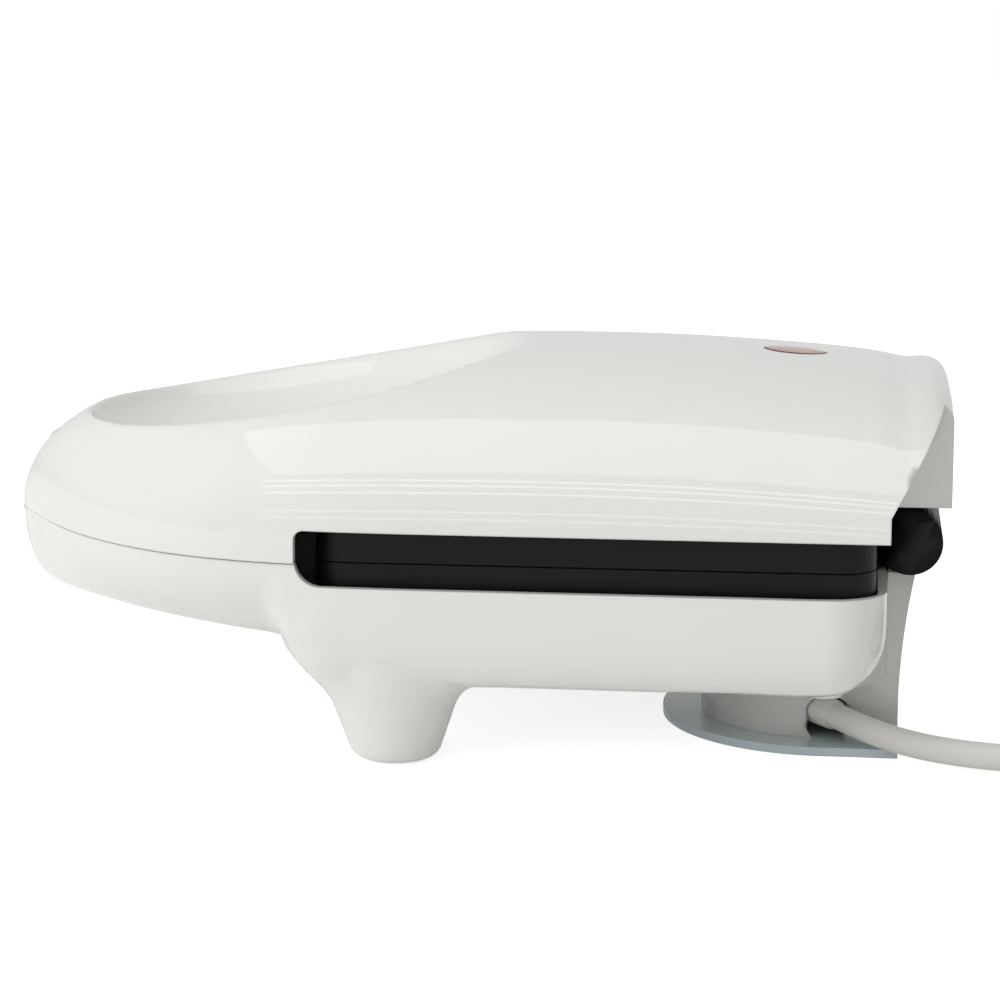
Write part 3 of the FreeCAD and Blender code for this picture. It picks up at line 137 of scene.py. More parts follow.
@dataclass(frozen=True)
class Finish:
    """A surface: its colour, gloss, and the fine relief and mottle that its making leaves.

    relief_mm is the size of the grain in the relief, relief_height_mm its height, mottle_mm the size of
    the soft colour variation and mottle its strength, edge_mm the radius of the moulded edges.
    """

    name: str
    hex_code: str
    roughness: float
    metallic: float = 0.0
    ior: float = 1.5
    coat: float = 0.0
    coat_roughness: float = 0.03
    relief_mm: float = 1.0
    relief_height_mm: float = 0.0
    mottle_mm: float = 30.0
    mottle: float = 0.02
    roughness_spread: float = 0.04
    edge_mm: float = 0.0
    transmission: float = 0.0
    subsurface: float = 0.0

    def material(self) -> bpy.types.Material:
        """Builds the material, or returns it if it is already made."""
        known = bpy.data.materials.get(self.name)
        if known:
            return known
        made = bpy.data.materials.new(self.name)
        tree = bare_tree(made)
        place = add_node(tree, "ShaderNodeTexCoord").outputs["Object"]
        mottle = add_node(tree, "ShaderNodeTexNoise", {"Scale": 1 / (self.mottle_mm * MM), "Detail": 3.0},
                          {"Vector": place}).outputs["Fac"]
        base = srgb(self.hex_code)
        dark = tuple(c * (1 - self.mottle) for c in base[:3]) + (1.0,)
        light = tuple(min(1.0, c * (1 + self.mottle)) for c in base[:3]) + (1.0,)
        ramp = add_node(tree, "ShaderNodeValToRGB", {}, {"Fac": mottle})
        for element, position, colour in zip(ramp.color_ramp.elements, MOTTLE_RAMP, (dark, light)):
            element.position, element.color = position, colour
        gloss = add_node(tree, "ShaderNodeMapRange",
                         {"To Min": max(LEAST_ROUGHNESS, self.roughness - self.roughness_spread),
                          "To Max": min(1.0, self.roughness + self.roughness_spread)}, {"Value": mottle})
        shader = add_node(tree, "ShaderNodeBsdfPrincipled",
                          {"Metallic": self.metallic, "IOR": self.ior, "Coat Weight": self.coat,
                           "Coat Roughness": self.coat_roughness, "Transmission Weight": self.transmission,
                           "Subsurface Weight": self.subsurface},
                          {"Base Color": ramp.outputs["Color"], "Roughness": gloss.outputs["Result"]})
        if self.subsurface:
            shader.inputs["Subsurface Radius"].default_value = SCATTER_RADIUS
            shader.inputs["Subsurface Scale"].default_value = SCATTER_SCALE
        normal = None
        if self.edge_mm:
            normal = add_node(tree, "ShaderNodeBevel", {"samples": 4, "Radius": self.edge_mm * MM}).outputs["Normal"]
        if self.relief_height_mm:
            grain = add_node(tree, "ShaderNodeTexNoise", {"Scale": 1 / (self.relief_mm * MM), "Detail": 2.0},
                             {"Vector": place}).outputs["Fac"]
            links = {"Height": grain}
            if normal:
                links["Normal"] = normal
            normal = add_node(tree, "ShaderNodeBump",
                              {"Strength": 1.0, "Distance": self.relief_height_mm * MM}, links).outputs["Normal"]
        if normal:
            tree.links.new(normal, shader.inputs["Normal"])
        out = add_node(tree, "ShaderNodeOutputMaterial", {}, {"Surface": shader.outputs["BSDF"]})
        out.target = "ALL"
        return made


# Injection-moulded gloss ABS: a hard clear highlight, a hint of orange peel, nearly pure white
GLOSS_ABS = Finish("gloss_white_abs", "f3f3ef", 0.05, ior=1.53, coat=0.35, relief_mm=9.0, relief_height_mm=0.006,
                   mottle=0.006, roughness_spread=0.015, edge_mm=0.7)
# The same resin on the stand, a little less glossy from handling; its colour is darkened grey as painted shade
SHADED_STAND_ABS = Finish("gloss_white_abs_painted_shade", "d6d7d3", 0.16, ior=1.53, coat=0.2, relief_mm=7.0, relief_height_mm=0.008,
                   mottle=0.01, edge_mm=0.6)
# Cool-tinted moulded plate under the stand
PALE_ABS = Finish("pale_blue_abs", "d4e2e7", 0.2, ior=1.53, coat=0.2, mottle=0.015, edge_mm=0.5)
# Die-cast aluminium with a black non-stick coat: fine cast pebble, satin
NONSTICK = Finish("nonstick_cast_aluminium", "0b0e0f", 0.46, ior=1.3, relief_mm=0.7, relief_height_mm=0.03,
                  mottle_mm=12, mottle=0.12, roughness_spread=0.06, edge_mm=0.4)
# Glass-filled nylon of the hinge: deep black, soft sheen
HINGE_NYLON = Finish("black_glass_nylon", "0c0d11", 0.42, ior=1.32, relief_mm=0.9, relief_height_mm=0.02, mottle=0.1,
                     mottle_mm=8, edge_mm=0.5)
# Nitrile rubber pads, matt
RUBBER = Finish("nitrile_rubber", "2b2c2e", 0.8, relief_mm=0.6, relief_height_mm=0.03, mottle=0.1, mottle_mm=5)
# Soft PVC of the mains lead: warm white, satin
PVC = Finish("cord_pvc", "dbd4c2", 0.42, relief_mm=1.2, relief_height_mm=0.012, mottle=0.03, mottle_mm=14,
             subsurface=0.1)
# Zinc-plated steel screws and pins
ZINC = Finish("zinc_steel", "b9bcbe", 0.3, metallic=1.0, relief_mm=0.5, relief_height_mm=0.006, mottle=0.06,
              mottle_mm=4)
# Sheathed heater tube, blued by heat
HEATER = Finish("heater_sheath", "6b6a66", 0.45, metallic=1.0, mottle=0.2, mottle_mm=10, relief_mm=0.8,
                relief_height_mm=0.01)
# Bright rolled aluminium sheet
SHEET = Finish("rolled_aluminium", "c9ccce", 0.25, metallic=1.0, mottle=0.05, mottle_mm=20, relief_mm=1.5,
               relief_height_mm=0.005)
# Nylon fittings inside
FITTING = Finish("natural_nylon", "d9d5c6", 0.5, mottle=0.04, relief_mm=1.0, relief_height_mm=0.02)
# Nickel-plated plug pins
NICKEL = Finish("nickel_plate", "c8c4b8", 0.18, metallic=1.0, mottle=0.03, relief_mm=0.6, relief_height_mm=0.004)
# Tinted acrylic of the indicator, with its lamp off
LENS_ACRYLIC = Finish("rose_acrylic", "c4a598", 0.12, ior=1.49, coat=0.3, subsurface=0.25, mottle=0.05, mottle_mm=3,
                      relief_mm=1.5, relief_height_mm=0.01)
# Neon lamp glass
LAMP_GLASS = Finish("lamp_glass", "e8d2c4", 0.05, ior=1.5, transmission=0.8, mottle=0.02)
# Woven tie of the coil
TIE_NYLON = Finish("woven_tie", "3a3b3d", 0.7, relief_mm=0.8, relief_height_mm=0.08, mottle=0.15, mottle_mm=2)

NODE_FINISHES: dict[str, Finish] = {
    # The stand takes the white resin darkened grey as painted shade
    "rear_stand": SHADED_STAND_ABS, "latch": GLOSS_ABS, "cord_wrap_plate": PALE_ABS,
    "front_foot_pads": RUBBER, "rear_foot_pads": RUBBER,
    "lower_plate": NONSTICK, "upper_plate": NONSTICK,
    "lower_heater": HEATER, "upper_heater": HEATER, "lower_reflector": SHEET, "upper_reflector": SHEET,
    "lower_plate_screws": ZINC, "upper_plate_screws": ZINC, "stand_screws": ZINC, "wrap_plate_screws": ZINC,
    "hinge_arm_screws": ZINC, "hinge_pin": ZINC, "latch_pin": ZINC, "thermostat": ZINC, "thermal_fuse": ZINC,
    "terminal_block": FITTING, "cord_clamp": FITTING, "lamp_holder": FITTING, "cord_gland": PVC,
    "base_knuckle_near": HINGE_NYLON, "base_knuckle_far": HINGE_NYLON, "lid_knuckle": HINGE_NYLON,
    "indicator_lens": LENS_ACRYLIC, "indicator_bezel": HINGE_NYLON, "neon_lamp": LAMP_GLASS,
    "plug_body": PVC, "plug_pins": NICKEL, "cord_tie": TIE_NYLON,
    "lid_housing": GLOSS_ABS, "base_housing": GLOSS_ABS, "power_cord": PVC, "cord_coil": PVC,
}


def mesh_object(name: str, points: np.ndarray, faces: Sequence[Sequence[int]], finish: Finish,
                smooth: bool = True) -> bpy.types.Object:
    """Makes a mesh object at the origin.

    Args:
        name: the piece's name.
        points: vertex positions in metres, one row each.
        faces: vertex numbers of each face.
        finish: its surface.
        smooth: whether its faces are shaded as one round surface.

    Returns:
        The new object, linked to the scene.
    """
    mesh = bpy.data.meshes.new(name)
    mesh.from_pydata(points.tolist(), [], [list(f) for f in faces])
    if smooth:
        mesh.shade_smooth()
    mesh.materials.append(finish.material())
    return add_object(name, mesh)


def merge_doubles(mesh: bpy.types.Mesh, distance: float, degenerate: float = 0.0) -> None:
    """Joins the corners of a mesh that lie on one another.

    Args:
        mesh: the mesh to change.
        distance: how near two corners have to lie, in metres.
        degenerate: edges shorter than this are dissolved, if it isn't zero.
    """
    work = bmesh.new()
    work.from_mesh(mesh)
    bmesh.ops.remove_doubles(work, verts=work.verts, dist=distance)
    if degenerate:
        bmesh.ops.dissolve_degenerate(work, edges=work.edges, dist=degenerate)
    work.to_mesh(mesh)
    work.free()


def grid_faces(rows: int, columns: int, closed: bool = False) -> list[list[int]]:
    """Numbers the faces of a grid of points.

    Args:
        rows: points along the first side.
        columns: points along the second side.
        closed: whether the last row joins the first.

    Returns:
        Four point numbers for each face.
    """
    numbers = np.arange(rows * columns).reshape(rows, columns)
    if closed:
        numbers = np.concatenate([numbers, numbers[:1]])
    corners = [numbers[:-1, :-1], numbers[1:, :-1], numbers[1:, 1:], numbers[:-1, 1:]]
    return np.stack(corners, axis=-1).reshape(-1, 4).tolist()


def welded_copy(node: str, name: str, sharp_degrees: float = 32.0) -> bpy.types.Object:
    """Copies a CAD node's mesh, joins its loose triangles and shades it smooth up to a sharp angle.

    Args:
        node: the CAD node.
        name: the new piece's name.
        sharp_degrees: edges that turn more than this stay sharp.

    Returns:
        The new object, which stands for the node.
    """
    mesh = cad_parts[node].data.copy()
    mesh.name = name
    merge_doubles(mesh, WELD_DISTANCE, SHORTEST_EDGE)
    mesh.materials.clear()
    mesh.materials.append(NODE_FINISHES[node].material())
    mesh.shade_smooth()
    mesh.set_sharp_from_angle(angle=math.radians(sharp_degrees))
    return add_object(name, mesh)


def eased(share: float | np.ndarray) -> float | np.ndarray:
    """Turns an even share from 0 to 1 into one that starts and ends softly."""
    return share * share * (3 - 2 * share)


def melt(first: np.ndarray, second: np.ndarray, width: np.ndarray) -> np.ndarray:
    """Works out how far a soft edge lies from the sharp edge between two surfaces.

    Args:
        first: distances to one surface.
        second: distances to the other.
        width: width of the soft edge.

    Returns:
        The shift, largest where both distances are the same.
    """
    near = np.maximum(width - np.abs(first - second), 0) / width
    return near * near * width / 4


def grid_points(x: np.ndarray, y: np.ndarray, z: np.ndarray) -> np.ndarray:
    """Joins grids of coordinates in millimetres into rows of points in metres."""
    return np.stack([x, y, z], axis=-1).reshape(-1, 3) * MM


def field_normals(points: np.ndarray, value: Field, step: float = 2e-5) -> tuple[np.ndarray, np.ndarray]:
    """Works out the direction in which a field rises and the distance to its zero surface.

    Args:
        points: places in metres, one row each.
        value: the field, negative inside.
        step: spacing of the differences.

    Returns:
        Unit gradients, and the field's value over its slope, in metres.
    """
    slope = np.empty_like(points)
    for axis in range(3):
        shift = np.zeros(3)
        shift[axis] = step
        slope[:, axis] = (value(points + shift) - value(points - shift)) / (2 * step)
    length = np.maximum(np.linalg.norm(slope, axis=1), NO_LENGTH)
    return slope / length[:, None], value(points) / length


def true_normals(piece: bpy.types.Object, fields: Sequence[Field], reach_mm: float = 0.25,
                 agree: float = 0.95) -> None:
    """Gives the corners that lie on a known curved surface that surface's own normals.

    Args:
        piece: the mesh to treat.
        fields: surfaces, as fields that are zero on them.
        reach_mm: how near a corner has to lie.
        agree: least cosine between the face and the surface.
    """
    mesh = piece.data
    count = len(mesh.loops)
    corner_vertex = np.empty(count, dtype=np.int32)
    mesh.loops.foreach_get("vertex_index", corner_vertex)
    places = np.empty(len(mesh.vertices) * 3)
    mesh.vertices.foreach_get("co", places)
    places = places.reshape(-1, 3)
    normals = np.empty(count * 3, dtype=np.float32)
    mesh.corner_normals.foreach_get("vector", normals)
    normals = normals.reshape(-1, 3)
    face_normals = np.empty(len(mesh.polygons) * 3, dtype=np.float32)
    mesh.polygons.foreach_get("normal", face_normals)
    totals = np.empty(len(mesh.polygons), dtype=np.int32)
    mesh.polygons.foreach_get("loop_total", totals)
    flat = np.repeat(face_normals.reshape(-1, 3), totals, axis=0)
    for value in fields:
        ways, distance = field_normals(places, value)
        near = np.abs(distance) < reach_mm * MM
        ways, near = ways[corner_vertex], near[corner_vertex]
        side = np.sum(ways * flat, axis=1)
        ways = ways * np.sign(side)[:, None]
        chosen = near & (np.abs(side) > agree)
        normals[chosen] = ways[chosen]
    mesh.normals_split_custom_set(normals.tolist())


@dataclass
class HousingForm:
    """The curved surfaces of the two housings, as fields over places in metres. Sizes are in millimetres."""

    nose_x: float = -134.0
    rear_x: float = 134.0
    parting_z: float = 57.0
    parting_gap: float = 0.7
    half_width: float = 88.0
    flank_power: float = 0.82
    tip_power: float = 0.5
    tip_sharpness: float = 40.0
    crest_x: float = 30.0
    crest_height: float = 50.0
    crest_power: float = 2.6
    crest_root: float = 0.44
    rear_fall: float = 6.0
    rear_round: float = 6.0
    lid_power: float = 2.6
    parting_step: float = 0.6
    tub_depth: float = 36.0
    tub_rear_x: float = 117.0
    tub_round: float = 16.0
    tub_power: float = 7.0
    handle_root_x: float = -40.0
    handle_depth: float = 31.5
    handle_taper: float = 9.5
    handle_end_power: float = 24.0
    handle_power: float = 2.4
    step_x: tuple[float, float] = (-48.0, -28.0)
    bowl_centre: tuple[float, float] = (-52.0, 97.0)
    bowl_size: tuple[float, float, float] = (61.5, 61.0, 22.0)
    bowl_tilt: float = 9.3

    @property
    def floor_z(self) -> float:
        """Height of the tub's underside."""
        return self.parting_z - self.parting_gap / 2 - self.tub_depth

    def plan(self, x: np.ndarray) -> np.ndarray:
        """Half width of the plan outline: a cubic falling to a rounded nose."""
        u = np.clip(-x / -self.nose_x, 0, 1)
        power = self.flank_power - (self.flank_power - self.tip_power) * u ** self.tip_sharpness
        return self.half_width * np.maximum(TINY, 1 - u ** 3) ** power

    @staticmethod
    def rounded(x: np.ndarray, end: float, radius: float) -> np.ndarray:
        """Drop of a quarter round that ends at `end`."""
        over = np.clip(x - (end - radius), 0, radius * ROUND_END)
        return radius - np.sqrt(radius ** 2 - over ** 2)

    def lid_outer(self, points: np.ndarray) -> np.ndarray:
        """Dome: a superellipse section over the plan outline, below the crest line."""
        x, y, z = (points / MM).T
        u = np.clip((self.crest_x - x) / (self.crest_x - self.nose_x), 0, 1)
        front = self.crest_height * np.maximum(TINY, 1 - u ** self.crest_power) ** self.crest_root
        back = x - self.crest_x
        fall = self.rear_fall * (back / (self.rear_x - self.rear_round - self.crest_x)) ** 2
        rear = self.crest_height - fall - self.rounded(x, self.rear_x, self.rear_round)
        crest = np.where(x <= self.crest_x, front, rear)
        across = np.abs(y) / self.plan(x)
        up = np.maximum(0, z - self.parting_z - self.parting_gap / 2) / crest
        return (across ** self.lid_power + up ** self.lid_power) ** (1 / self.lid_power) - 1

    def bowl(self, points: np.ndarray) -> np.ndarray:
        """Finger bowl: a tilted ellipsoid."""
        x, y, z = (points / MM).T
        dx, dz = x - self.bowl_centre[0], z - self.bowl_centre[1]
        turn = math.radians(self.bowl_tilt)
        along = dx * math.cos(turn) + dz * math.sin(turn)
        down = -dx * math.sin(turn) + dz * math.cos(turn)
        a, b, c = self.bowl_size
        return np.sqrt((along / a) ** 2 + (y / b) ** 2 + (down / c) ** 2) - 1

    def base_outer(self, points: np.ndarray) -> np.ndarray:
        """Lower shell: a superellipse section that grows from the round handle to the square tub."""
        x, y, z = (points / MM).T
        u = np.clip((self.handle_root_x - x) / (self.handle_root_x - self.nose_x), 0, HANDLE_END)
        handle = (self.handle_depth - self.handle_taper * u) * np.sqrt(1 - u ** self.handle_end_power)
        step = eased(np.clip((x - self.step_x[0]) / (self.step_x[1] - self.step_x[0]), 0, 1))
        rear = self.rounded(x, self.tub_rear_x, self.tub_round)
        drop = handle * (1 - step) + self.tub_depth * step - rear
        power = self.handle_power + (self.tub_power - self.handle_power) * step
        across = np.abs(y) / np.maximum(LEAST_MM, self.plan(x) - self.parting_step - rear)
        down = np.maximum(0, self.parting_z - self.parting_gap / 2 - z) / np.maximum(LEAST_MM, drop)
        return (across ** power + down ** power) ** (1 / power) - 1


@dataclass
class BowlRim:
    """Soft edge between the finger bowl and the dome, wider towards the hinge. Sizes in millimetres.

    Faces within reach of the edge are split until no side is longer than edge. rounds holds the melted width at the two
    ends of span, which lies along X, and corners within skin of the outer surface count as lying on it.
    """

    form: HousingForm
    reach: float = 17.0
    edge: float = 2.4
    rounds: tuple[float, float] = (2.0, 9.0)
    span: tuple[float, float] = (-112.0, -10.0)
    skin: float = 1.0
    passes: int = 6
    settles: int = 4

    def distances(self, points: np.ndarray) -> tuple[np.ndarray, np.ndarray]:
        """Distances to the dome and to the bowl's hollow, in millimetres, each negative inside the plastic."""
        return (field_normals(points, self.form.lid_outer)[1] / MM, -field_normals(points, self.form.bowl)[1] / MM)

    def blended(self, points: np.ndarray) -> np.ndarray:
        """Dome less bowl, with the edge between them melted over a width that grows along X."""
        dome, hollow = self.distances(points)
        share = np.clip((points[:, 0] / MM - self.span[0]) / (self.span[1] - self.span[0]), 0, 1)
        width = self.rounds[0] + (self.rounds[1] - self.rounds[0]) * share
        return (np.maximum(dome, hollow) + melt(dome, hollow, width)) * MM

    def zone(self, points: np.ndarray) -> tuple[np.ndarray, np.ndarray]:
        """Tells which places lie on the outer skin, and which of them lie near the edge."""
        dome, hollow = self.distances(points)
        outer = np.abs(np.maximum(dome, hollow)) < self.skin
        return outer, np.maximum(np.abs(dome), np.abs(hollow)) < self.reach

    def soften(self, piece: bpy.types.Object) -> None:
        """Splits the faces near the edge until they are small, and moves their corners onto the melted surface.

        Args:
            piece: the lid's shell.
        """
        work = bmesh.new()
        work.from_mesh(piece.data)
        for _ in range(self.passes):
            work.verts.index_update()
            spots = np.array([v.co for v in work.verts])
            ends = np.array([(e.verts[0].index, e.verts[1].index) for e in work.edges])
            middle = (spots[ends[:, 0]] + spots[ends[:, 1]]) / 2
            outer, near = self.zone(spots)
            long = np.linalg.norm(spots[ends[:, 0]] - spots[ends[:, 1]], axis=1) > self.edge * MM
            close = near[ends].any(axis=1) | self.zone(middle)[1]
            chosen = np.flatnonzero(long & close & outer[ends].all(axis=1))
            if not len(chosen):
                break
            work.edges.ensure_lookup_table()
            bmesh.ops.subdivide_edges(work, edges=[work.edges[i] for i in chosen], cuts=1, use_grid_fill=True)
            bmesh.ops.triangulate(work, faces=work.faces)
        spots = np.array([v.co for v in work.verts])
        outer, near = self.zone(spots)
        moved = np.flatnonzero(outer & near)
        places = spots[moved]
        for _ in range(self.settles):
            ways, distance = field_normals(places, self.blended, MELT_STEP)
            places = places - ways * distance[:, None]
        work.verts.ensure_lookup_table()
        for index, place in zip(moved, places):
            work.verts[index].co = place
        work.to_mesh(piece.data)
        work.free()


@dataclass
class FootFairing:
    """Smooth skin over a cone foot and the tub round it, where the moulding blends the two. Sizes in millimetres.

    The blend narrows to blend_top above the tub's floor, except ahead of step_x, where the tub's front slopes. The skin
    lies lift outside the melted surface, step_lift more on that slope, and sinks to tuck below it at its rim. spread is
    the tilt of the widest rays, in degrees: inwards and to the rear, outwards, and to the front. The rays leave from
    a point over the foot at the height eye_z.
    """

    form: HousingForm
    foot_x: float = -14.4
    foot_y: float = 65.0
    low_radius: float = 11.3
    top_radius: float = 18.0
    low_z: float = 0.8
    edge_round: float = 4.4
    sink: float = 10.4
    blend: float = 6.5
    blend_top: float = 0.7
    blend_rise: float = 1.0
    blend_fade: float = 8.0
    step_x: float = -24.0
    step_fade: float = 9.0
    eye_z: float = 48.0
    reach: float = 80.0
    spread: tuple[float, float, float] = (54.0, 80.0, 70.0)
    lift: float = 0.15
    tuck: float = 0.35
    step_lift: float = 0.7
    fade_rows: int = 16
    first_ray: float = 0.04
    halvings: int = 34
    rows: int = 110
    columns: int = 144

    def cone(self, points: np.ndarray) -> np.ndarray:
        """Distance to the near foot's cone with its rounded lower edge, in millimetres."""
        radius = np.hypot(points[:, 0] - self.foot_x, points[:, 1] + self.foot_y)
        z = points[:, 2]
        floor_z = self.form.floor_z
        slope = (self.top_radius - self.low_radius) / (floor_z - self.low_z)
        lean = math.atan(slope)
        side = (radius - self.low_radius - slope * (z - self.low_z)) * math.cos(lean)
        centre_z = self.low_z + self.edge_round
        centre_r = self.low_radius + slope * self.edge_round - self.edge_round / math.cos(lean)
        along = (radius - centre_r) * math.sin(lean) + (z - centre_z) * math.cos(lean)
        corner = (radius > centre_r) & (along < 0)
        round_edge = np.hypot(radius - centre_r, z - centre_z) - self.edge_round
        return np.maximum(np.where(corner, round_edge, np.maximum(side, self.low_z - z)), z - floor_z - self.sink)

    def ahead(self, points: np.ndarray) -> np.ndarray:
        """Share, from 0 to 1, by which places in metres lie on the slope ahead of the tub's floor."""
        return np.clip((self.step_x - points[:, 0] / MM) / self.step_fade, 0, 1)

    def blended(self, points: np.ndarray) -> np.ndarray:
        """Distance to the foot and the tub, melted into each other, over places in metres."""
        tub = field_normals(points, self.form.base_outer)[1] / MM
        foot = self.cone(points / MM)
        up = np.clip((points[:, 2] / MM - self.form.floor_z - self.blend_rise) / self.blend_fade, 0, 1)
        width = self.blend + (self.blend_top - self.blend) * up * (1 - self.ahead(points))
        return (np.minimum(tub, foot) - melt(tub, foot, width)) * MM

    def skin(self) -> tuple[np.ndarray, np.ndarray]:
        """Finds the skin along rays from a point inside the tub above the foot.

        Returns:
            Places in metres and unit normals, row by row from the foot's end outwards.
        """
        around = np.linspace(0, 2 * math.pi, self.columns, endpoint=False)
        outward, forward = np.clip(-np.sin(around), 0, 1) ** 2, np.clip(-np.cos(around), 0, 1) ** 2
        least, outer, front = self.spread
        widest = np.radians(least + (outer - least) * outward + (front - least) * forward)
        share = np.linspace(self.first_ray, 1.0, self.rows)
        tilt = share[:, None] * widest[None, :]
        turn = np.broadcast_to(around, tilt.shape)
        rays = np.stack([np.sin(tilt) * np.cos(turn), np.sin(tilt) * np.sin(turn), -np.cos(tilt)], axis=-1)
        rays = rays.reshape(-1, 3)
        eye = np.array([self.foot_x, -self.foot_y, self.eye_z]) * MM
        low, high = np.zeros(len(rays)), np.full(len(rays), self.reach * MM)
        for _ in range(self.halvings):
            middle = (low + high) / 2
            inside = self.blended(eye + rays * middle[:, None]) < 0
            low, high = np.where(inside, middle, low), np.where(inside, high, middle)
        places = eye + rays * low[:, None]
        normals = field_normals(places, self.blended, MELT_STEP)[0]
        left = np.clip(np.arange(self.rows)[::-1] / self.fade_rows, 0, 1)
        rise = self.lift + self.tuck + self.step_lift * self.ahead(places)
        lift = rise * np.repeat(left, self.columns) - self.tuck
        return places + normals * lift[:, None] * MM, normals

    def build(self) -> None:
        """Lays the skin over both feet, the far one as the near one's mirror image."""
        places, normals = self.skin()
        numbers = np.arange(self.rows * self.columns).reshape(self.rows, self.columns)
        beside = np.roll(numbers, -1, axis=1)
        faces = np.stack([numbers[:-1], beside[:-1], beside[1:], numbers[1:]], axis=-1).reshape(-1, 4)
        mirror = np.array([1.0, -1.0, 1.0])
        for name, flip, order in (("foot_skin_near", np.ones(3), slice(None)),
                                  ("foot_skin_far", mirror, slice(None, None, -1))):
            piece = mesh_object(name, places * flip, faces[:, order].tolist(), GLOSS_ABS)
            piece.data.normals_split_custom_set_from_vertices((normals * flip).tolist())
            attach(piece, "base")
            log.info("%s lies over a foot", piece.name)


@dataclass
class Housings:
    """Lid, base, stand and latch: copies of the CAD shells with smooth, true normals."""

    form: HousingForm = field(default_factory=HousingForm)

    def build(self) -> None:
        """Makes the shells and sets them on their bodies."""
        lid = welded_copy("lid_housing", "lid_shell")
        rim = BowlRim(self.form)
        rim.soften(lid)
        true_normals(lid, [rim.blended])
        base = welded_copy("base_housing", "base_shell")
        true_normals(base, [self.form.base_outer])
        latch = welded_copy("latch", "latch_strap")
        true_normals(latch, [self.form.lid_outer, self.form.base_outer])
        stand = welded_copy("rear_stand", "stand_shell")
        for piece, node, body in ((lid, "lid_housing", "lid"), (base, "base_housing", "base"),
                                  (latch, "latch", "latch"), (stand, "rear_stand", "base")):
            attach(piece, body)
            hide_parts(node)
            log.info("%s stands for %s", piece.name, node)
        FootFairing(self.form).build()


# Body and material slot of each round piece
ROUND_NODES: dict[str, tuple[str, str]] = {
    "lower_plate": ("base", "black_nonstick"), "upper_plate": ("lid", "black_nonstick"),
    "cord_wrap_plate": ("base", "pale_plastic"),
    "base_knuckle_near": ("base", "black_plastic"), "base_knuckle_far": ("base", "black_plastic"),
    "lid_knuckle": ("lid", "black_plastic"),
    "plug_body": ("base", "cord_pvc"), "plug_pins": ("base", "plug_metal"), "cord_gland": ("base", "cord_pvc"),
    "front_foot_pads": ("base", "rubber_pads"),
}


@dataclass
class SmoothPieces:
    """CAD pieces with round faces, copied so that they shade smoothly."""

    made: dict[str, bpy.types.Object] = field(default_factory=dict)

    def build(self) -> None:
        """Copies each piece and sets it on its body."""
        for node, (body, slot) in ROUND_NODES.items():
            piece = welded_copy(node, node + "_smooth")
            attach(piece, body)
            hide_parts(node)
            self.made[node] = piece
            log.info("%s stands for %s", piece.name, node)


@dataclass
class StandWalls:
    """Side walls of the stand that close the corner between its neck, its core and the tub. Sizes in millimetres."""

    form: HousingForm = field(default_factory=HousingForm)
    outer_y: float = 38.95
    thick: float = 2.6
    front_x: float = 98.0
    rear_x: float = 117.8
    low_z: float = 18.4
    gap: float = 0.5
    steepest: float = 0.995
    steps: int = 48

    def top(self, x: np.ndarray) -> np.ndarray:
        """Height of the tub's underside over the wall, less the gap."""
        form = self.form
        share = np.clip((x - form.tub_rear_x + form.tub_round) / form.tub_round, 0, self.steepest)
        rise = form.tub_round * (1 - np.sqrt(1 - share ** 2))
        return form.floor_z + rise - self.gap

    def build(self) -> None:
        """Makes both walls: a strip of four-cornered sections along X with an end face on each end."""
        share = 1 - (1 - np.linspace(0, 1, self.steps)) ** 2
        along = self.front_x + (self.rear_x - self.front_x) * share
        for name, side in (("stand_wall_near", -1.0), ("stand_wall_far", 1.0)):
            x = along[::int(side)]
            corners = [(self.outer_y, False), (self.outer_y, True),
                       (self.outer_y - self.thick, True), (self.outer_y - self.thick, False)]
            low, top = np.full_like(x, self.low_z), self.top(x)
            rows = [np.stack([x, np.full_like(x, side * y), top if high else low], axis=1) for y, high in corners]
            last = self.steps - 1
            ends = [[row * self.steps for row in (3, 2, 1, 0)], [row * self.steps + last for row in range(4)]]
            # The walls take the stand's resin, darkened grey as painted shade
            piece = mesh_object(name, np.concatenate(rows) * MM,
                                grid_faces(len(corners), self.steps, closed=True) + ends, SHADED_STAND_ABS, smooth=False)
            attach(piece, "base")
            log.info("%s closes a side of the stand", piece.name)


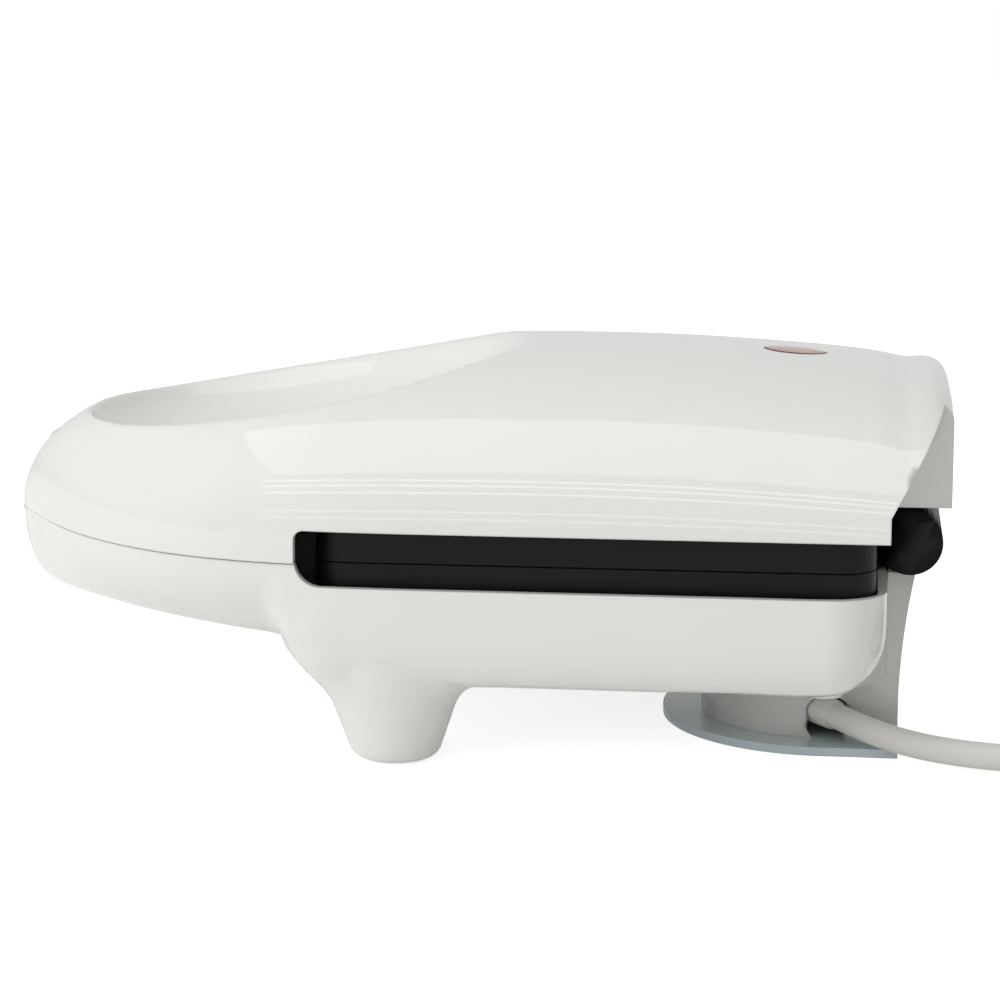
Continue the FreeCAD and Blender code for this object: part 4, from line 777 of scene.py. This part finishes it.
@dataclass
class Indicator:
    """Leaf-shaped lens and its thin bezel, which follow the lid's fall. Sizes in millimetres, weld in metres."""

    form: HousingForm = field(default_factory=HousingForm)
    place_x: float = 90.5
    length: float = 17.0
    width: float = 13.0
    crown: float = 0.7
    proud: float = 0.15
    skirt: float = 1.4
    bezel_width: float = 0.5
    bezel_rise: float = 0.225
    bezel_sink: float = 0.05
    bezel_steps: int = 9
    weld: float = 1e-6
    across: int = 25
    along: int = 49

    def lid_height(self, x: np.ndarray, y: np.ndarray) -> np.ndarray:
        """Height of the lid's surface behind its crest."""
        form = self.form
        back = (x - form.crest_x) / (form.rear_x - form.rear_round - form.crest_x)
        crest = form.crest_height - form.rear_fall * back ** 2
        side = np.abs(y) / form.plan(x)
        return form.parting_z + form.parting_gap / 2 + crest * (1 - side ** form.lid_power) ** (1 / form.lid_power)

    @property
    def stations(self) -> np.ndarray:
        """Distances along the leaf from its middle, closer together at its tips."""
        return -np.cos(np.linspace(0, math.pi, self.along)) * self.length / 2

    def half_leaf(self, s: np.ndarray) -> np.ndarray:
        """Half width of the leaf at a distance along it, between two arcs."""
        half_l, half_w = self.length / 2, self.width / 2
        radius = (half_l ** 2 + half_w ** 2) / (2 * half_w)
        return np.sqrt(np.maximum(0, radius ** 2 - s ** 2)) - (radius - half_w)

    def lens(self) -> bpy.types.Object:
        """Crowned lens with a skirt that goes into the lid."""
        v = np.concatenate([[-1], np.linspace(-1, 1, self.across), [1]])
        grid_s, grid_v = np.meshgrid(self.stations, v, indexing="ij")
        x, y = self.place_x + grid_s, grid_v * self.half_leaf(grid_s)
        bulge = (1 - grid_v ** 2) * np.sqrt(np.maximum(0, 1 - (grid_s / (self.length / 2)) ** 2))
        z = self.lid_height(x, y) + self.proud + self.crown * bulge
        z[:, [0, -1]] -= self.skirt
        leaf = mesh_object("indicator_leaf", grid_points(x, y, z), grid_faces(*x.shape), LENS_ACRYLIC)
        merge_doubles(leaf.data, self.weld)
        return leaf

    def bezel(self) -> bpy.types.Object:
        """Half-round ring along the leaf's outline."""
        s = self.stations
        edge = self.half_leaf(s)
        outline = np.concatenate([np.stack([s, -edge], axis=1), np.stack([s, edge], axis=1)[-2:0:-1]])
        ahead = np.roll(outline, -1, axis=0) - np.roll(outline, 1, axis=0)
        ahead /= np.maximum(NO_LENGTH, np.linalg.norm(ahead, axis=1))[:, None]
        out = np.stack([ahead[:, 1], -ahead[:, 0]], axis=1)
        turn = np.linspace(math.pi, 0, self.bezel_steps)
        reach = self.bezel_width / 2 * (1 - np.cos(turn))
        flat = outline[:, None, :] + out[:, None, :] * reach[None, :, None]
        x, y = self.place_x + flat[..., 0], flat[..., 1]
        rise = np.sin(turn)[None, :] * self.bezel_rise
        z = self.lid_height(x, y) + rise - self.bezel_sink
        return mesh_object("indicator_ring", grid_points(x, y, z), grid_faces(*x.shape, closed=True), HINGE_NYLON)

    def build(self) -> None:
        """Makes both pieces and sets them on the lid."""
        for piece, node, slot in ((self.lens(), "indicator_lens", "lens"),
                                  (self.bezel(), "indicator_bezel", "black_plastic")):
            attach(piece, "lid")
            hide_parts(node)
            log.info("%s stands for %s", piece.name, node)


@dataclass
class Cord:
    """Mains lead: from the strain relief along the table to a tied coil and its plug. Sizes in millimetres."""

    diameter: float = 7.2
    route: tuple[tuple[float, float, float], ...] = (
        (103.9, -40.0, 9.1), (110.6, -47.3, 7.9), (119.3, -52.9, 6.2), (130.0, -56.8, 4.8), (143.0, -59.8, 4.1),
        (158.0, -61.9, 4.0), (175.0, -62.8, 4.4), (190.0, -63.0, 4.8), (204.0, -63.0, 4.8))
    start_radius: float = 45.0
    pitch: float = 8.1
    turns_in: float = 1.5
    turns_out: float = 1.25
    climb: float = 0.5
    layer_gap: float = 0.8
    plug_tail: float = 28.0
    ease_turns: float = 0.25
    points_per_turn: int = 24

    def coil_point(self, turns: float) -> tuple[float, float, float]:
        """Centre line of the coil: in on the table, up a layer in half a turn, out again on top."""
        layer = self.diameter + self.layer_gap
        inner = self.start_radius - self.pitch * self.turns_in
        if turns <= self.turns_in:
            radius, lift = self.start_radius - self.pitch * turns, 0.0
        elif turns <= self.turns_in + self.climb:
            part = turns - self.turns_in
            radius = inner - self.pitch * part + self.pitch * part * part / self.climb
            lift = layer * eased(part / self.climb)
        else:
            radius, lift = inner + self.pitch * (turns - self.turns_in - self.climb), layer
        if turns < self.ease_turns:
            radius = self.start_radius - self.pitch * turns * eased(turns / self.ease_turns)
        angle = -math.pi / 2 + 2 * math.pi * turns
        end = self.route[-1]
        return (end[0] + radius * math.cos(angle), end[1] + self.start_radius + radius * math.sin(angle),
                end[2] + lift)

    def spline_points(self) -> list[tuple[float, float, float]]:
        """Control points of the whole lead: the route, the coil's turns and the straight tail."""
        total = self.turns_in + self.climb + self.turns_out
        count = round(total * self.points_per_turn)
        turns = [self.coil_point(total * i / count) for i in range(1, count + 1)]
        tail = turns[-1]
        ends = [(tail[0], tail[1] + self.plug_tail * share, tail[2]) for share in (0.5, 1.0)]
        return [*self.route, *turns, *ends]

    def build(self, pieces: dict[str, bpy.types.Object]) -> None:
        """Args:
            pieces: the smooth copies, among them the plug. It is not used.
        """
        points = self.spline_points()
        curve = bpy.data.curves.new("mains_lead", "CURVE")
        curve.dimensions = "3D"
        curve.bevel_depth = self.diameter / 2 * MM
        curve.bevel_resolution = 8
        curve.use_fill_caps = True
        spline = curve.splines.new("NURBS")
        spline.points.add(len(points) - 1)
        spline.points.foreach_set("co", [v for p in points for v in (p[0] * MM, p[1] * MM, p[2] * MM, 1.0)])
        spline.order_u = 3
        spline.use_endpoint_u = True
        spline.resolution_u = 6
        curve.materials.append(PVC.material())
        lead = add_object("mains_lead", curve)
        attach(lead, "base")
        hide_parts("power_cord", "cord_coil")
        log.info("mains lead laid with %d points", len(points))


class LampKind(Enum):
    """What a lamp does for the picture."""

    TOP = "top"
    FRONT = "front"
    STRIP = "strip"


@dataclass(frozen=True)
class LampPlan:
    """A lamp's place and sides in metres, and its power in watts."""

    at: tuple[float, float, float]
    size: tuple[float, float]
    power: float


@dataclass
class Studio:
    """White floor and backdrop, soft lamps, and the camera at the photograph's viewpoint.

    tubes holds each strip lamp's rise in degrees and its power; they stand on an arc in front of the object.
    """

    camera_yaw: float = 7.1
    camera_rise: float = 10.0
    sensor_mm: float = 36.0
    focal_px: float = 2892.0
    frame_px: float = 1000.0
    distance: float = 0.838
    target: tuple[float, float, float] = (0.006, 0.0, 0.0601)
    top_softbox: LampPlan = LampPlan((0.0, -0.3, 1.5), (1.8, 1.4), 7.0)
    key_softbox: LampPlan = LampPlan((-1.6, -1.05, 1.0), (1.9, 1.9), 19.0)
    tubes: tuple[tuple[float, float], ...] = ((44.7, 0.5), (39.7, 0.5), (33.2, 0.45), (17.3, 0.3), (11.8, 0.25))
    tube_size: tuple[float, float] = (1.7, 0.03)
    tube_middle: tuple[float, float] = (-0.15, 0.07)
    tube_reach: float = 1.6
    aim: tuple[float, float, float] = (0.0, 0.0, 0.06)
    floor_half: float = 6.0
    floor_white: float = 0.9
    floor_seen: float = 0.75
    floor_mirrored: float = 0.3
    room_colour: Colour = (1.0, 1.0, 0.985, 1.0)
    room_light: float = 0.34
    room_mirrored: float = 0.72
    paper_light: float = 1.0

    def camera(self) -> None:
        """Stands the camera where the photograph was taken from."""
        yaw, rise = math.radians(self.camera_yaw), math.radians(self.camera_rise)
        back = Vector((math.sin(yaw) * math.cos(rise), -math.cos(yaw) * math.cos(rise), math.sin(rise)))
        data = bpy.data.cameras.new("view")
        data.sensor_width = self.sensor_mm
        data.lens = self.sensor_mm * self.focal_px / self.frame_px
        view = add_object("view", data)
        view.location = Vector(self.target) + back * self.distance
        view.rotation_mode = "QUATERNION"
        view.rotation_quaternion = (-back).to_track_quat("-Z", "Y")
        bpy.context.scene.camera = view

    def floor(self) -> None:
        """Lays a white floor that the camera sees as white paper, with the object's soft shadow on it."""
        points = np.array([(-1, -1, 0), (1, -1, 0), (1, 1, 0), (-1, 1, 0)]) * self.floor_half
        paper = bpy.data.materials.new("white_paper")
        tree = bare_tree(paper)
        path = add_node(tree, "ShaderNodeLightPath").outputs
        mirrored = add_node(tree, "ShaderNodeMath", {"operation": "MULTIPLY", 1: self.floor_mirrored},
                            {0: path["Is Glossy Ray"]}).outputs[0]
        level = add_node(tree, "ShaderNodeMath", {"operation": "MULTIPLY_ADD", 1: self.floor_seen},
                         {0: path["Is Camera Ray"], 2: mirrored}).outputs[0]
        shade = add_node(tree, "ShaderNodeBsdfDiffuse", {"Color": (self.floor_white,) * 3 + (1.0,)}).outputs[0]
        glow = add_node(tree, "ShaderNodeEmission", {"Color": WHITE}, {"Strength": level}).outputs[0]
        both = add_node(tree, "ShaderNodeAddShader", {}, {0: shade, 1: glow}).outputs[0]
        add_node(tree, "ShaderNodeOutputMaterial", {}, {"Surface": both})
        mesh = bpy.data.meshes.new("floor")
        mesh.from_pydata(points.tolist(), [], [(0, 1, 2, 3)])
        mesh.materials.append(paper)
        floor = add_object("floor", mesh)

    def world(self) -> None:
        """Lights the room softly, and shows it as white paper to the camera and in reflections."""
        world = bpy.data.worlds.new("room")
        bpy.context.scene.world = world
        tree = bare_tree(world)
        path = add_node(tree, "ShaderNodeLightPath").outputs
        levels = ((self.room_colour, self.room_light), (WHITE, self.room_mirrored), (WHITE, self.paper_light))
        room, mirror, paper = (
            add_node(tree, "ShaderNodeBackground", {"Color": colour, "Strength": strength}).outputs[0]
            for colour, strength in levels)
        unseen = add_node(tree, "ShaderNodeMixShader", {}, {0: path["Is Glossy Ray"], 1: room, 2: mirror}).outputs[0]
        mix = add_node(tree, "ShaderNodeMixShader", {}, {0: path["Is Camera Ray"], 1: unseen, 2: paper}).outputs[0]
        add_node(tree, "ShaderNodeOutputWorld", {}, {"Surface": mix})

    def lamp(self, kind: LampKind, name: str, plan: LampPlan) -> None:
        """Hangs a rectangular lamp that faces the object; the key lamp lights it without a mirror image.

        Args:
            kind: what the lamp is for.
            name: its name.
            plan: its place, sides and power.
        """
        data = bpy.data.lights.new(name, "AREA")
        data.shape = "RECTANGLE"
        data.size, data.size_y = plan.size
        data.energy = plan.power
        lamp = add_object(f"{kind.value}_{name}", data)
        lamp.location = plan.at
        lamp.rotation_mode = "QUATERNION"
        lamp.rotation_quaternion = (Vector(self.aim) - Vector(plan.at)).to_track_quat("-Z", "Y")
        lamp.visible_glossy = kind is not LampKind.FRONT

    def build(self) -> None:
        """Sets up the camera, the floor, the room and the lamps."""
        bpy.context.scene.view_settings.view_transform = "Standard"
        self.camera()
        self.floor()
        self.world()
        self.lamp(LampKind.TOP, "softbox", self.top_softbox)
        self.lamp(LampKind.FRONT, "key_softbox", self.key_softbox)
        x, z = self.tube_middle
        for index, (rise, power) in enumerate(self.tubes):
            turn = math.radians(rise)
            at = (x, -self.tube_reach * math.cos(turn), z + self.tube_reach * math.sin(turn))
            self.lamp(LampKind.STRIP, f"tube_{index}", LampPlan(at, self.tube_size, power))


def main() -> None:
    """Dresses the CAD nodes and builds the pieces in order."""
    logging.basicConfig(level=logging.INFO)
    Studio().build()
    for node, finish in NODE_FINISHES.items():
        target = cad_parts[node].data
        target.materials.clear()
        target.materials.append(finish.material())
    Housings().build()
    smooth = SmoothPieces()
    smooth.build()
    StandWalls().build()
    Indicator().build()
    Cord().build(smooth.made)


if __name__ == "__main__":
    main()
